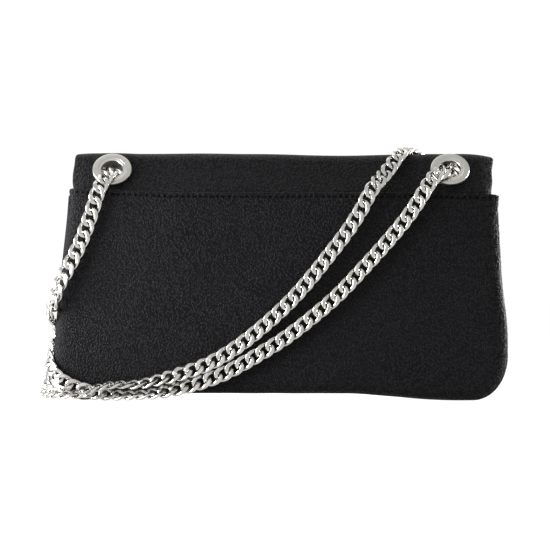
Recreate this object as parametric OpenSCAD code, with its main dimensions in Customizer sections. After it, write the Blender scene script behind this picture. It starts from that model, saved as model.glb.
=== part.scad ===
// Flap crossbody bag with a full-width back pocket and a sliding curb chain.
// Frame: +Z up, +X to the right of the back view, -Y towards the back face.
// The origin is at the middle of the bottom. All lengths are millimetres.

/* [Body] */
// Widest width over the gusset
body_w = 280; // [240:1:320]
// Lean of each side from the widest place in to the mouth
mouth_lean = 8.5; // [4:0.5:12]
// Depth over the front and back panels
body_d = 50; // [44:1:64]
// Height of the side walls up to the eave, where the roof starts
wall_h = 127; // [110:1:150]
// Width of one rounded bottom corner
corner_w = 24; // [20:1:30]
// Height of one rounded bottom corner
corner_h = 30; // [26:1:38]
// Half width at which the feet end and the arched bottom starts
foot_in = 88; // [70:1:96]
// Rise of the arched bottom at the middle
arch_rise = 5; // [2:0.5:8]
// Height of the gusset's top edge
gusset_top = 116; // [100:1:120]
// Height of the mouth's front edge
mouth_z = 117; // [102:1:121]

/* [Roof] */
// Tilt of the roof's flat slopes from the vertical, in degrees
roof_tilt = 37; // [33:1:41]
// Outer radius of the ridge
ridge_r = 12; // [10:0.5:14]
// Outer radius of the bend at the eave
eave_r = 8; // [5:0.5:10]
// Step of the roof's side edges inside the mouth
yoke_step = 2.2; // [2:0.2:8]

/* [Flap] */
// Step of the flap's side edges on the front inside the roof's
flap_step = 7.8; // [5:0.2:12]
// Height of the flap's lower edge
flap_low = 34; // [25:1:60]
// Radius of the flap's lower corners
flap_corner = 24; // [12:1:34]
// Distance in which the flap narrows from the ridge
flap_narrow = 12; // [10:1:20]

/* [Leather and cloth] */
// Thickness of the leather panels
leather_t = 2; // [1.6:0.1:2.4]
// Thickness of the back pocket's leather
pocket_t = 1.7; // [1.4:0.1:2]
// Thickness of the gusset's leather
gusset_t = 2; // [1.6:0.1:2.4]
// Thickness of the flap's lining
flap_lining_t = 0.8; // [0.6:0.1:1]
// Thickness of the cloth lining
cloth_t = 0.5; // [0.4:0.1:0.8]
// Gap that layers leave to each other
layer_gap = 0.2; // [0.1:0.05:0.3]
// Distance of the panels' edges inside the gusset's outline
panel_inset = 2.5; // [2:0.1:3.5]
// Distance of the back pocket's edge inside the gusset's outline
pocket_inset = 1.6; // [1:0.1:2]
// Height of the back pocket's top edge
pocket_top = 127.6; // [110:0.2:128]
// Thickness of the base board
board_t = 1.2; // [1:0.1:1.6]

/* [Gusset fold] */
// Depth of the drawn-in fold at the gusset's top
fold_top_depth = 8; // [5:0.5:9]
// Depth of the drawn-in fold above the bottom corner
fold_low_depth = 4; // [3:0.5:5]
// Half width of the fold's floor
fold_floor = 17.4; // [16:0.2:18]
// Half width of the fold's mouth
fold_mouth = 20.6; // [20:0.2:21]

/* [Eyelets] */
// Distance of an eyelet's centre inside the roof's side edge
eyelet_in = 24.9; // [20:0.1:34]
// Distance of an eyelet's centre below the upper end of the roof's flat slope
eyelet_below = 7.4; // [7:0.1:8.6]
// Outer diameter of the eyelet's ring
eyelet_d = 24; // [20:0.5:26]
// Bore of the eyelet
eyelet_bore = 13.2; // [12.6:0.1:14]
// Height of the eyelet's ring over the leather
eyelet_h = 2.4; // [2:0.1:3]
// Wall of the eyelet's barrel
barrel_t = 0.8; // [0.6:0.1:1]
// Outer diameter of the inner washer
washer_d = 17.6; // [17:0.1:18]
// Thickness of the inner washer
washer_t = 0.8; // [0.6:0.1:1]

/* [Chain] */
// Pitch of the links
link_pitch = 7.2; // [7:0.05:7.4]
// Half length of a link's centre line
link_half_l = 5.05; // [4.95:0.05:5.1]
// Half width of a link's centre line
link_half_w = 3.6; // [3.5:0.05:3.8]
// Height of a link's twist on each side of its plane
link_twist = 1.5; // [1.45:0.05:1.6]
// Thickness of the links' wire
link_wire = 1.6; // [1.5:0.05:1.75]

/* [Magnetic snap] */
// Height of the snap's centre
snap_z = 62; // [58:1:80]
// Diameter of the snap's discs
snap_d = 18; // [14:0.5:20]
// Thickness of the socket
socket_t = 2; // [1.6:0.1:2.4]
// Thickness of the stud's disc
stud_t = 1; // [0.8:0.1:1.2]
// Diameter of the stud's post
post_d = 5.4; // [4:0.2:6]
// Length of the stud's post
post_l = 1.7; // [1.2:0.1:1.8]
// Clearance round the post, which leaves the socket on an arc
post_gap = 1; // [0.8:0.1:1.4]

/* [Inner zip pocket] */
// Length of the zip
zip_l = 150; // [100:1:180]
// Height of the zip's centre
zip_z = 84; // [70:1:86]
// Width of the zip's window
zip_w = 12; // [10:0.5:14]
// Diameter of the closed coil
coil_d = 2.2; // [1.8:0.1:2.6]
// Length of the slider
slider_l = 9; // [7:0.5:12]
// Length of the puller
puller_l = 24; // [16:1:30]
// Clearance of the slider and the puller
zip_gap = 0.3; // [0.2:0.05:0.4]

/* [Inner pockets] */
// Thickness of the zip pocket's flat bag
bag_t = 1.4; // [1:0.1:1.6]
// Height of the zip pocket bag's lower edge
bag_low = 24; // [16:1:40]
// Rim of the leather frame round the zip
frame_rim = 4; // [3:0.5:5]
// Height of the leather facing at the mouth
facing_h = 20; // [14:1:24]
// Height of the slip pocket's lower edge
slip_low = 22; // [16:1:30]
// Width of the inner slip pocket
slip_w = 130; // [80:1:160]
// Height of the inner slip pocket
slip_h = 62; // [40:1:75]

/* [Hidden] */

leather = [0.13, 0.13, 0.14];
cloth = [0.32, 0.3, 0.29];
nickel = [0.8, 0.79, 0.76];
board = [0.55, 0.5, 0.42];

// Reach of the cuts past what they cut
overrun = 60;
// Fragments of the revolved metal pieces
$fn = 48;

back_y = -body_d / 2;
pocket_y = back_y - layer_gap - pocket_t;
yoke_w = body_w - 2 * mouth_lean - 2 * yoke_step;
flap_w = yoke_w - 2 * flap_step;
eyelet_x = yoke_w / 2 - eyelet_in;
// Power of the curve in which the sides lean in
side_curve = 1.15;

// Half width of the outline at height z, above the corner
function side_x(z) = body_w / 2
    - mouth_lean * pow(max(0, (z - corner_h) / (wall_h - corner_h)), side_curve);

// Steps of the outline's curved stretches
corner_steps = 7;
arch_steps = 10;
side_steps = 5;

// Right half of the outline, from the top down to the foot's inner end, moved in by inset
function half_outline(inset, top) = concat(
    [for (k = [0 : side_steps - 1]) let (z = top + (corner_h - top) * k / side_steps)
        [side_x(z) - inset, z]],
    [for (k = [0 : corner_steps]) let (a = 90 * k / corner_steps)
        [body_w / 2 - corner_w + (corner_w - inset) * cos(a),
         corner_h - (corner_h - inset) * sin(a)]]);

function arch_z(x, inset) = inset + arch_rise * pow(1 - pow(x / foot_in, 2), 2);

// Closed outline of the body in the XZ plane
function body_outline(inset, top) = let (right = half_outline(inset, top)) concat(
    right,
    [for (k = [0 : arch_steps]) let (x = foot_in * (1 - 2 * k / arch_steps)) [x, arch_z(x, inset)]],
    [for (k = [len(right) - 1 : -1 : 0]) [-right[k][0], right[k][1]]]);

// A plate in the XZ plane, from y_low to y_high
module upright_plate(y_low, y_high) {
    translate([0, y_high, 0]) rotate([90, 0, 0]) linear_extrude(y_high - y_low) children();
}

// Line of the fold's floor: its half width at the height of the top and above the corner
fold_low_z = corner_h / 2;
fold_top_x = side_x(gusset_top) - fold_top_depth;
fold_low_x = side_x(fold_low_z) - fold_low_depth;
fold_lean = atan((fold_low_x - fold_top_x) / (gusset_top - fold_low_z));
function fold_x(z) = fold_low_x + (fold_top_x - fold_low_x) * (z - fold_low_z) / (gusset_top - fold_low_z);

// Long trapezoid that presses a gusset wall in, on the right; grow moves its faces inwards
module fold_prism(grow) {
    translate([fold_low_x, 0, fold_low_z]) rotate([0, -fold_lean, 0])
        translate([0, 0, -overrun]) linear_extrude(wall_h + 2 * overrun)
            polygon([[-grow, -fold_floor - grow], [-grow, fold_floor + grow],
                [overrun, fold_mouth + grow + (fold_mouth - fold_floor) * overrun / fold_low_depth],
                [overrun, -fold_mouth - grow - (fold_mouth - fold_floor) * overrun / fold_low_depth]]);
}

module both_folds(grow) {
    fold_prism(grow);
    mirror([1, 0, 0]) fold_prism(grow);
}

// A strip that runs down one side, along the bottom and up the other side
module strip(inset, thick, half_y, top, fold_grow) {
    difference() {
        upright_plate(-half_y, half_y) polygon(body_outline(inset, top));
        difference() {
            upright_plate(-half_y - overrun, half_y + overrun)
                polygon(body_outline(inset + thick, top + overrun));
            both_folds(fold_grow + thick);
        }
        both_folds(fold_grow);
    }
}

gusset_half_y = body_d / 2 - leather_t - layer_gap;

module gusset() {
    color(leather) strip(0, gusset_t, gusset_half_y, gusset_top, 0);
}

// Roof: places on its slopes, up from the eave and out from the leather
sin_t = sin(roof_tilt);
cos_t = cos(roof_tilt);
slope_l = (body_d / 2 - ridge_r * cos_t) / sin_t;
ridge_z = wall_h + slope_l * cos_t + ridge_r * (1 - sin_t);
eyelet_up = slope_l - eyelet_below;

// Depths of the lining under the leather's outer face; the snap's washer lies between them
lining_d0 = leather_t + layer_gap + cloth_t;
lining_d1 = lining_d0 + flap_lining_t;

// Gap between the front panel and the flap, which the snap fills
snap_stack = layer_gap + socket_t + layer_gap + stud_t;
flap_in_y = body_d / 2 + snap_stack + layer_gap;
flap_out_y = flap_in_y + lining_d1;
// The flap's own eave lies further out and lower
flap_eave_z = wall_h - (flap_out_y - body_d / 2) * cos_t / sin_t;

// Points of one arc in the YZ plane, from angle a to angle b
function arc_points(cy, cz, r, a, b, n) =
    [for (k = [0 : n]) let (t = a + (b - a) * k / n) [cy + r * cos(t), cz + r * sin(t)]];

// The face of a skin, at depth under the outer face, from low_z at the wall up to the ridge.
// It is drawn on the +Y side. The eave bend starts tangent to the wall and ends on the slope.
bend_steps = 4;
ridge_steps = 6;
function skin_face(out_y, eave_z, low_z, depth, end_gap) = let (
    reach = eave_r * tan(roof_tilt / 2),
    ce = [out_y - eave_r, eave_z - reach],
    cr = [0, ridge_z - ridge_r],
    r_in = ridge_r - depth,
    last = acos(end_gap / r_in)) concat(
    [[out_y - depth, low_z]],
    arc_points(ce[0], ce[1], eave_r - depth, 0, roof_tilt, bend_steps),
    arc_points(cr[0], cr[1], r_in, roof_tilt, last, ridge_steps));

// Closed section of a skin between two depths
function skin_section(out_y, eave_z, low_z, d0, d1, end_gap) = concat(
    skin_face(out_y, eave_z, low_z, d0, end_gap),
    let (inner = skin_face(out_y, eave_z, low_z, d1, end_gap))
        [for (k = [len(inner) - 1 : -1 : 0]) inner[k]]);

// A skin of the given section, drawn out along X
module skin(out_y, eave_z, low_z, d0, d1, half_w, end_gap) {
    translate([-half_w, 0, 0]) rotate([90, 0, 90]) linear_extrude(2 * half_w)
        polygon(skin_section(out_y, eave_z, low_z, d0, d1, end_gap));
}

// Half of the slit that the leather's fold leaves at the ridge
hinge_gap = 1.5 * layer_gap;

// Puts children at an eyelet: side is 1 or -1 along X, face is -1 at the back and 1 on the flap
module at_eyelet(side, face) {
    translate([side * eyelet_x, 0, 0]) mirror([0, face > 0 ? 1 : 0, 0])
        translate([0, back_y + eyelet_up * sin_t, wall_h + eyelet_up * cos_t])
            rotate([90 - roof_tilt, 0, 0]) children();
}

barrel_r = eyelet_bore / 2 + barrel_t;
hole_r = barrel_r + layer_gap;

module eyelet_holes(face) {
    for (side = [-1, 1]) at_eyelet(side, face)
        cylinder(h = 4 * eyelet_h + 4 * leather_t, r = hole_r, center = true);
}

// Outline of the back panel: the body's outline, narrower above the pocket
back_top = ridge_z + leather_t;
function back_outline() = let (low = half_outline(panel_inset, pocket_top - leather_t)) concat(
    [[yoke_w / 2 - leather_t / 2, back_top], [yoke_w / 2, (back_top + pocket_top) / 2],
     [yoke_w / 2 - leather_t / 2, pocket_top]],
    low,
    [for (k = [0 : arch_steps]) let (x = foot_in * (1 - 2 * k / arch_steps)) [x, arch_z(x, panel_inset)]],
    [for (k = [len(low) - 1 : -1 : 0]) [-low[k][0], low[k][1]]],
    [[-yoke_w / 2 + leather_t / 2, pocket_top], [-yoke_w / 2, (back_top + pocket_top) / 2],
     [-yoke_w / 2 + leather_t / 2, back_top]]);

module back_panel() {
    color(leather) difference() {
        intersection() {
            mirror([0, 1, 0]) skin(body_d / 2, wall_h, 0, 0, leather_t, body_w, hinge_gap);
            upright_plate(-body_d, body_d) polygon(back_outline());
        }
        eyelet_holes(-1);
    }
}

// The yoke's lining runs from the facing's top up to the ridge
facing_top = wall_h - eave_r;
module yoke_lining() {
    half = yoke_w / 2 - panel_inset;
    color(leather) difference() {
        mirror([0, 1, 0])
            skin(body_d / 2, wall_h, facing_top + layer_gap, lining_d0, lining_d1, half, hinge_gap);
        eyelet_holes(-1);
    }
}

// Slit for a prong of the snap, cut through a panel on both sides of the snap
prong_w = snap_d / 6;
prong_t = leather_t / 4;
prong_x = snap_d / 4;
module prongs(y_low, y_high, grow) {
    for (side = [-1, 1])
        translate([side * prong_x - prong_t / 2 - grow, y_low, snap_z - prong_w / 2 - grow])
            cube([prong_t + 2 * grow, y_high - y_low, prong_w + 2 * grow]);
}

module front_panel() {
    color(leather) difference() {
        upright_plate(body_d / 2 - leather_t, body_d / 2)
            polygon(body_outline(panel_inset, mouth_z));
        prongs(0, body_d, layer_gap);
    }
}

module back_pocket() {
    color(leather)
        upright_plate(pocket_y, back_y - layer_gap) polygon(body_outline(pocket_inset, pocket_top));
}

// Outline of the flap on the front: straight sides, round lower corners
flap_steps = 6;
function flap_outline(inset) = let (
    hw = flap_w / 2 - inset,
    r = flap_corner - inset,
    right = concat([[hw, ridge_z - 2 * ridge_r], [hw, flap_low + flap_corner]],
        [for (k = [1 : flap_steps]) let (a = 90 * k / flap_steps)
            [hw - r + r * cos(a), flap_low + flap_corner - r * sin(a)]])) concat(
    [[yoke_w / 2 - inset, back_top], [yoke_w / 2 - inset, ridge_z - ridge_r / 2]],
    right,
    [for (k = [len(right) - 1 : -1 : 0]) [-right[k][0], right[k][1]]],
    [[-yoke_w / 2 + inset, ridge_z - ridge_r / 2], [-yoke_w / 2 + inset, back_top]]);

// Seen from above, the flap narrows from the ridge to its width on the front
module flap_plan(inset) {
    linear_extrude(back_top + overrun) polygon([
        [yoke_w / 2 - inset, -hinge_gap], [flap_w / 2 - inset, flap_narrow],
        [flap_w / 2 - inset, body_d], [-flap_w / 2 + inset, body_d],
        [-flap_w / 2 + inset, flap_narrow], [-yoke_w / 2 + inset, -hinge_gap]]);
}

module flap_skin(d0, d1, inset) {
    difference() {
        intersection() {
            skin(flap_out_y, flap_eave_z, 0, d0, d1, body_w, hinge_gap);
            upright_plate(-body_d, body_d) polygon(flap_outline(inset));
            flap_plan(inset);
        }
        eyelet_holes(1);
    }
}

module flap() {
    color(leather) flap_skin(0, leather_t, 0);
}

module flap_lining() {
    color(leather) difference() {
        flap_skin(lining_d0, lining_d1, leather_t);
        prongs(0, flap_out_y - leather_t, layer_gap);
    }
}

// Metal ring with a domed face and a barrel that is rolled over the washer
ring_r = eyelet_d / 2;
ring_mid = (ring_r + eyelet_bore / 2) / 2;
ring_half = (ring_r - eyelet_bore / 2) / 2;
ring_under = layer_gap / 2;
ring_lip = eyelet_h / 5;
dome_steps = 10;
washer_up = -lining_d1 - layer_gap;
barrel_end = washer_up - washer_t - layer_gap / 2 - barrel_t;
roll_r = (barrel_r + washer_d / 2) / 2;

module eyelet() {
    color(nickel) rotate_extrude() polygon(concat(
        [[eyelet_bore / 2, barrel_end], [roll_r, barrel_end], [roll_r, barrel_end + barrel_t],
         [barrel_r, barrel_end + barrel_t], [barrel_r, ring_under], [ring_r, ring_under]],
        [for (k = [0 : dome_steps]) let (a = 180 * k / dome_steps)
            [ring_mid + ring_half * cos(a), ring_under + ring_lip + (eyelet_h - ring_lip) * sin(a)]]));
}

module washer() {
    color(nickel) translate([0, 0, washer_up - washer_t]) difference() {
        cylinder(h = washer_t, d = washer_d);
        cylinder(h = 4 * washer_t, r = hole_r, center = true);
    }
}

module eyelet_back_left() { at_eyelet(-1, -1) eyelet(); }
module eyelet_back_right() { at_eyelet(1, -1) eyelet(); }
module eyelet_flap_left() { at_eyelet(-1, 1) eyelet(); }
module eyelet_flap_right() { at_eyelet(1, 1) eyelet(); }
module washer_back_left() { at_eyelet(-1, -1) washer(); }
module washer_back_right() { at_eyelet(1, -1) washer(); }
module washer_flap_left() { at_eyelet(-1, 1) washer(); }
module washer_flap_right() { at_eyelet(1, 1) washer(); }

// Inner layers, counted from the gusset and the panels inwards
board_inset = gusset_t + layer_gap;
inner_inset = board_inset + board_t + layer_gap;
lining_back_y = -gusset_half_y + bag_t + layer_gap;
lining_front_y = gusset_half_y - cloth_t - layer_gap / 2;
inner_half_y = gusset_half_y - cloth_t - 2 * layer_gap;
facing_t = leather_t / 2;
facing_low = mouth_z - facing_h;

module base_board() {
    color(board) intersection() {
        strip(board_inset, board_t, inner_half_y - layer_gap, gusset_top, layer_gap + gusset_t);
        translate([-body_w / 2 + corner_w, -body_d, 0])
            cube([body_w - 2 * corner_w, 2 * body_d, corner_h / 2]);
    }
}

// Plate of the lining, inside the gusset and clear of its folds
module lining_plate(y_low, y_high, top) {
    difference() {
        upright_plate(y_low, y_high) polygon(body_outline(inner_inset + cloth_t + layer_gap, top));
        both_folds(gusset_t + cloth_t + 3 * layer_gap);
    }
}

module zip_window(grow) {
    translate([-zip_l / 2 - grow, -body_d / 2, zip_z - zip_w / 2 - grow])
        cube([zip_l + 2 * grow, body_d / 2, zip_w + 2 * grow]);
}

module lining_back() {
    color(cloth) difference() {
        lining_plate(lining_back_y, lining_back_y + cloth_t, facing_low - layer_gap);
        zip_window(layer_gap);
    }
}

module lining_front() {
    color(cloth) lining_plate(lining_front_y - cloth_t, lining_front_y, facing_low - layer_gap);
}

module lining_gusset() {
    color(cloth) strip(inner_inset, cloth_t, inner_half_y - bag_t, gusset_top - facing_t,
        gusset_t + 2 * layer_gap);
}

module facing_plate(y_low, top) {
    color(leather) intersection() {
        lining_plate(y_low, y_low + facing_t, top);
        translate([-body_w, -body_d, facing_low]) cube([2 * body_w, 2 * body_d, wall_h]);
    }
}
module facing_front() { facing_plate(lining_front_y - facing_t, mouth_z); }
module facing_back() { facing_plate(-lining_front_y, facing_top); }

// Flat bag of the zip pocket, between the back panel and the lining
module zip_pocket_bag() {
    half = zip_l / 2 + zip_w;
    color(cloth) upright_plate(-gusset_half_y, -gusset_half_y + bag_t)
        polygon([[half, facing_low - layer_gap], [-half, facing_low - layer_gap],
            [-half, bag_low], [half, bag_low]]);
}

// Leather frame round the zip's window, on the lining's face
frame_y = lining_back_y + cloth_t + layer_gap;
frame_t = leather_t / 2;
module zip_frame() {
    color(leather) difference() {
        translate([-zip_l / 2 - frame_rim, frame_y, zip_z - zip_w / 2 - frame_rim])
            cube([zip_l + 2 * frame_rim, frame_t, zip_w + 2 * frame_rim]);
        zip_window(layer_gap);
    }
}

module zip_tape() {
    color(cloth) translate([-zip_l / 2, lining_back_y, zip_z - zip_w / 2])
        cube([zip_l, cloth_t, zip_w]);
}

coil_y = lining_back_y + cloth_t + coil_d / 2;
module zip_coil() {
    color(nickel) translate([-zip_l / 2, coil_y, zip_z]) rotate([0, 90, 0])
        cylinder(h = zip_l, d = coil_d);
}

// Slider: a tapered shell over the coil with a bar on top that carries the puller
slider_w = 4 * coil_d;
slider_wall = coil_d / 2;
slider_low_y = lining_back_y + cloth_t + zip_gap;
slider_top_y = coil_y + coil_d / 2 + zip_gap + slider_wall;
slider_x = -zip_l / 2 + slider_l;
bar_r = coil_d / 4;
bar_y = slider_top_y + 3 * bar_r + zip_gap;
bar_l = slider_l / 2;
post_w = slider_l / 8;
module zip_slider() {
    color(nickel) difference() {
        union() {
            translate([slider_x, slider_top_y, zip_z]) rotate([90, 0, 0])
                linear_extrude(slider_top_y - slider_low_y) polygon([
                    [-slider_l / 2, -slider_w / 3], [slider_l / 4, -slider_w / 2],
                    [slider_l / 2, -slider_w / 3], [slider_l / 2, slider_w / 3],
                    [slider_l / 4, slider_w / 2], [-slider_l / 2, slider_w / 3]]);
            translate([slider_x - bar_l / 2, bar_y, zip_z]) rotate([0, 90, 0])
                cylinder(h = bar_l, r = bar_r);
            for (side = [-1, 1])
                translate([slider_x + side * (bar_l - post_w) / 2 - post_w / 2,
                        slider_low_y + slider_wall, zip_z - bar_r])
                    cube([post_w, bar_y + bar_r - slider_low_y - slider_wall, 2 * bar_r]);
        }
        translate([slider_x - slider_l, slider_low_y - overrun, zip_z - coil_d / 2 - zip_gap])
            cube([2 * slider_l, overrun + coil_y + coil_d / 2 + zip_gap - slider_low_y,
                coil_d + 2 * zip_gap]);
    }
}

// Puller: an eye on the slider's bar and a waisted tab that hangs down
eye_r = bar_r + zip_gap;
eye_wall = coil_d / 3;
puller_w = slider_l / 2;
eye_l = bar_l - 2 * post_w - 2 * zip_gap;
module zip_puller() {
    color(nickel) difference() {
        union() {
            translate([slider_x - eye_l / 2, bar_y, zip_z]) rotate([0, 90, 0])
                cylinder(h = eye_l, r = eye_r + eye_wall);
            upright_at = bar_y - eye_wall / 2;
            upright_plate(upright_at, upright_at + eye_wall) translate([slider_x, zip_z])
                polygon([[-eye_l / 2, 0], [eye_l / 2, 0], [eye_l / 2, -puller_l / 3],
                    [puller_w / 2, -puller_l * 0.8], [puller_w / 3, -puller_l],
                    [-puller_w / 3, -puller_l], [-puller_w / 2, -puller_l * 0.8],
                    [-eye_l / 2, -puller_l / 3]]);
        }
        translate([slider_x - slider_l, bar_y, zip_z]) rotate([0, 90, 0])
            cylinder(h = 2 * slider_l, r = eye_r);
    }
}

// Open-topped slip pocket on the front lining
module slip_pocket() {
    slip_y = lining_front_y - cloth_t - layer_gap;
    color(cloth) upright_plate(slip_y - cloth_t, slip_y)
        polygon([[slip_w / 2, slip_low + slip_h], [-slip_w / 2, slip_low + slip_h],
            [-slip_w / 2, slip_low], [slip_w / 2, slip_low]]);
}

// Magnetic snap: the socket sits on the front panel and the stud on the flap
socket_y = body_d / 2 + layer_gap / 2;
stud_back_y = flap_in_y - layer_gap / 2;
module snap_disc(y_low, thick, d) {
    translate([0, y_low, snap_z]) rotate([-90, 0, 0]) cylinder(h = thick, d = d);
}
module snap_socket() {
    plate_y = body_d / 2 - leather_t - layer_gap / 2 - cloth_t;
    color(nickel) {
        difference() {
            snap_disc(socket_y, socket_t, snap_d);
            snap_disc(socket_y + socket_t - post_l - layer_gap, 2 * socket_t, post_d + 2 * post_gap);
        }
        prongs(plate_y, socket_y + layer_gap, 0);
    }
}
module snap_washer_plate(y_low) {
    color(nickel) difference() {
        translate([-snap_d / 2, y_low, snap_z - prong_w]) cube([snap_d, cloth_t, 2 * prong_w]);
        prongs(-body_d, 2 * body_d, layer_gap / 2);
    }
}
module snap_socket_washer() {
    snap_washer_plate(body_d / 2 - leather_t - layer_gap / 2 - cloth_t);
}
module snap_stud() {
    prong_end = flap_in_y + flap_lining_t + layer_gap / 2 + cloth_t;
    color(nickel) {
        snap_disc(stud_back_y - stud_t, stud_t, snap_d);
        snap_disc(stud_back_y - stud_t - post_l, post_l + stud_t / 2, post_d);
        prongs(stud_back_y - stud_t / 2, prong_end, 0);
    }
}
module snap_stud_washer() {
    snap_washer_plate(flap_in_y + flap_lining_t + layer_gap / 2);
}

// Curb chain. Each link's centre line is an ellipse that twists out of its plane twice:
// (half_l cos t, half_w sin t, -twist sin 2t). Links of one hand then lie flat in a row.
chain_half_t = link_twist + link_wire / 2;
seat = chain_half_t + layer_gap;
link_rings = 12;
link_sides = 4;

function unit(v) = v / norm(v);
function link_ring(t) = let (
    c = [link_half_l * cos(t), link_half_w * sin(t), -link_twist * sin(2 * t)],
    d = unit([-link_half_l * sin(t), link_half_w * cos(t), -2 * link_twist * cos(2 * t)]),
    s = unit(cross(d, [0, 0, 1])),
    u = cross(s, d),
    h = link_wire / 2)
    [c + h * (s + u), c + h * (u - s), c - h * (s + u), c + h * (s - u)];
link_points = [for (k = [0 : link_rings - 1]) each link_ring(360 * k / link_rings)];
// A frame that keeps its hand turns these quads outwards; each is cut into two triangles
link_faces = [for (k = [0 : link_rings - 1]) for (m = [0 : link_sides - 1]) let (
    n = (k + 1) % link_rings, q = (m + 1) % link_sides,
    a = k * link_sides + m, b = n * link_sides + m,
    c = n * link_sides + q, e = k * link_sides + q)
    each [[a, c, b], [a, e, c]]];

// Places of the route: a point and the direction in which a link's flat face looks.
// On the back face: shares of the half width and of the wall height, and a lift in seats
function on_back(x_share, z_share, lift = 1) =
    [[x_share * body_w / 2, pocket_y - lift * seat, z_share * wall_h], [0, -1, 0]];
// Near the bottom edge, with the face's direction given
function beside(x_share, y_share, z_share, face) =
    [[x_share * body_w / 2, y_share * body_d / 2, z_share * wall_h], unit(face)];
// Beside the left wall: the distance outside its outline in seats
function at_side(out, y_share, z_share, face) =
    [[-side_x(z_share * wall_h) - out * seat, y_share * body_d / 2, z_share * wall_h], unit(face)];
// In the gusset's fold, at a height and a place across the depth
function in_fold(y_share, z_share, lift = 1) =
    [[-fold_x(z_share * wall_h) - lift * seat, y_share * body_d / 2, z_share * wall_h],
     [-cos(fold_lean), 0, -sin(fold_lean)]];
// On a roof slope: x along the ridge, up from the eave, out in seats; face -1 is the back
function on_roof(x, up, out, face, look = [0, 1, 0]) = let (
    n = [0, face * cos_t, sin_t],
    t = [0, -face * sin_t, cos_t])
    [[x, face * body_d / 2, wall_h] + up * t + out * seat * n,
     unit(look[0] * t + look[1] * n + [look[2], 0, 0])];

e_up = eyelet_up;
e_r = eyelet_d / 2;

// The closed route, in shares of the body's sizes. It runs from the back left eyelet down to
// the gusset, round the corner, up to the back right eyelet, through the bag, over the ridge,
// down again, round the corner, up in the gusset's fold, round the flap's edge and in at its
// left eyelet.
left_shares = [
    on_roof(-eyelet_x, e_up - 0.04 * e_r, 0, -1, [0.92, 0, 0.38]),
    on_roof(-eyelet_x - 0.109 * e_r, e_up - 0.325 * e_r, 1.321, -1, [0.49, 0.43, 0.05]),
    on_roof(-eyelet_x - 0.254 * e_r, e_up - 0.692 * e_r, 2.193, -1, [0.19, 0.99, 0]),
    on_roof(-eyelet_x - 0.484 * e_r, e_up - 1.169 * e_r, 2.06, -1, [-0.46, 0.73, 0]),
    on_back(-0.802, 1.015, 1.3),
    on_back(-0.82, 0.944),
    on_back(-0.851, 0.841),
    on_back(-0.887, 0.742),
    at_side(-2.116, -1.2, 0.64, [-0.3, -0.95, 0]),
    at_side(-0.142, -1.2, 0.55, [-0.55, -0.83, 0]),
    at_side(0.563, -1.138, 0.486, [-0.63, -0.49, -0.37]),
    at_side(1.542, -0.859, 0.412, [-1.19, -0.28, 0.2]),
    at_side(0.043, -0.603, 0.364, [-0.58, 0.05, -0.58])];
lower_shares = [
    at_side(-0.212, -0.492, 0.307, [-1.02, -0.34, -0.37]),
    at_side(0.799, -0.689, 0.249, [-0.94, -0.13, -0.13]),
    at_side(0.949, -0.915, 0.173, [-0.65, -0.49, 0]),
    at_side(-0.5, -1.13, 0.126, [-0.55, -0.8, 0]),
    at_side(-3.109, -1.211, 0.088, [-0.21, -1.01, 0]),
    beside(-0.89, -1.21, 0.061, [0, -0.98, 0.15]),
    beside(-0.835, -1.25, 0.047, [0, -0.9, 0.4]),
    beside(-0.77, -1.28, 0.037, [0, -0.7, 0.7]),
    beside(-0.7, -1.29, 0.033, [0, -0.5, 0.87]),
    beside(-0.62, -1.29, 0.035, [0, -0.4, 0.9]),
    beside(-0.535, -1.27, 0.044, [0, -0.6, 0.8]),
    beside(-0.44, -1.25, 0.064, [0, -0.8, 0.55]),
    beside(-0.334, -1.21, 0.099, [0, -0.97, 0.2]),
    on_back(-0.234, 0.142),
    on_back(-0.104, 0.222),
    on_back(0.022, 0.308),
    on_back(0.143, 0.411),
    on_back(0.253, 0.517),
    on_back(0.357, 0.639),
    on_back(0.456, 0.759),
    on_back(0.549, 0.882),
    on_back(0.595, 0.955, 1.2),
    on_back(0.63, 1.018, 1.35),
    on_roof(eyelet_x - 0.99 * e_r, e_up - 0.968 * e_r, 2.69, -1, [-0.32, 0.85, 0]),
    on_roof(eyelet_x - 0.6 * e_r, e_up - 0.52 * e_r, 2.4, -1, [-0.2, 0.95, 0]),
    on_roof(eyelet_x - 0.24 * e_r, e_up - 0.24 * e_r, 1.5, -1, [0.4, 0.7, 0.55]),
    on_roof(eyelet_x - 0.02 * e_r, e_up - 0.05 * e_r, 0, -1, [0.55, 0, 0.84])];
right_inside_shares = [
    on_roof(eyelet_x + 0.12 * e_r, e_up + 0.1 * e_r, -2.2, -1, [0.5, 0, 0.87]),
    [[eyelet_x + 0.17 * e_r, 0, wall_h + 0.93 * e_r], unit([1, 0, 0.1])],
    on_roof(eyelet_x + 0.134 * e_r, e_up + 0.079 * e_r, -2.203, 1, [-0.24, 0, 0.97])];
ridge_shares = [
    on_roof(eyelet_x - 0.03 * e_r, e_up + 0.01 * e_r, 0, 1, [-0.4, 0, 0.92]),
    on_roof(eyelet_x - 0.298 * e_r, e_up + 0.105 * e_r, 1.538, 1, [-0.26, 0.62, 0.59]),
    on_roof(eyelet_x - 0.671 * e_r, e_up + 0.346 * e_r, 2.427, 1),
    on_roof(eyelet_x - 1.287 * e_r, e_up + 0.572 * e_r, 1.906, 1),
    [[eyelet_x - 1.972 * e_r, 0.033 * body_d, ridge_z + 1.102 * seat], [0, 0.02, 1]],
    [[eyelet_x - 2.45 * e_r, -0.26 * body_d / 2, ridge_z + 0.6 * seat], unit([0, -0.6, 1])]];
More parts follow.
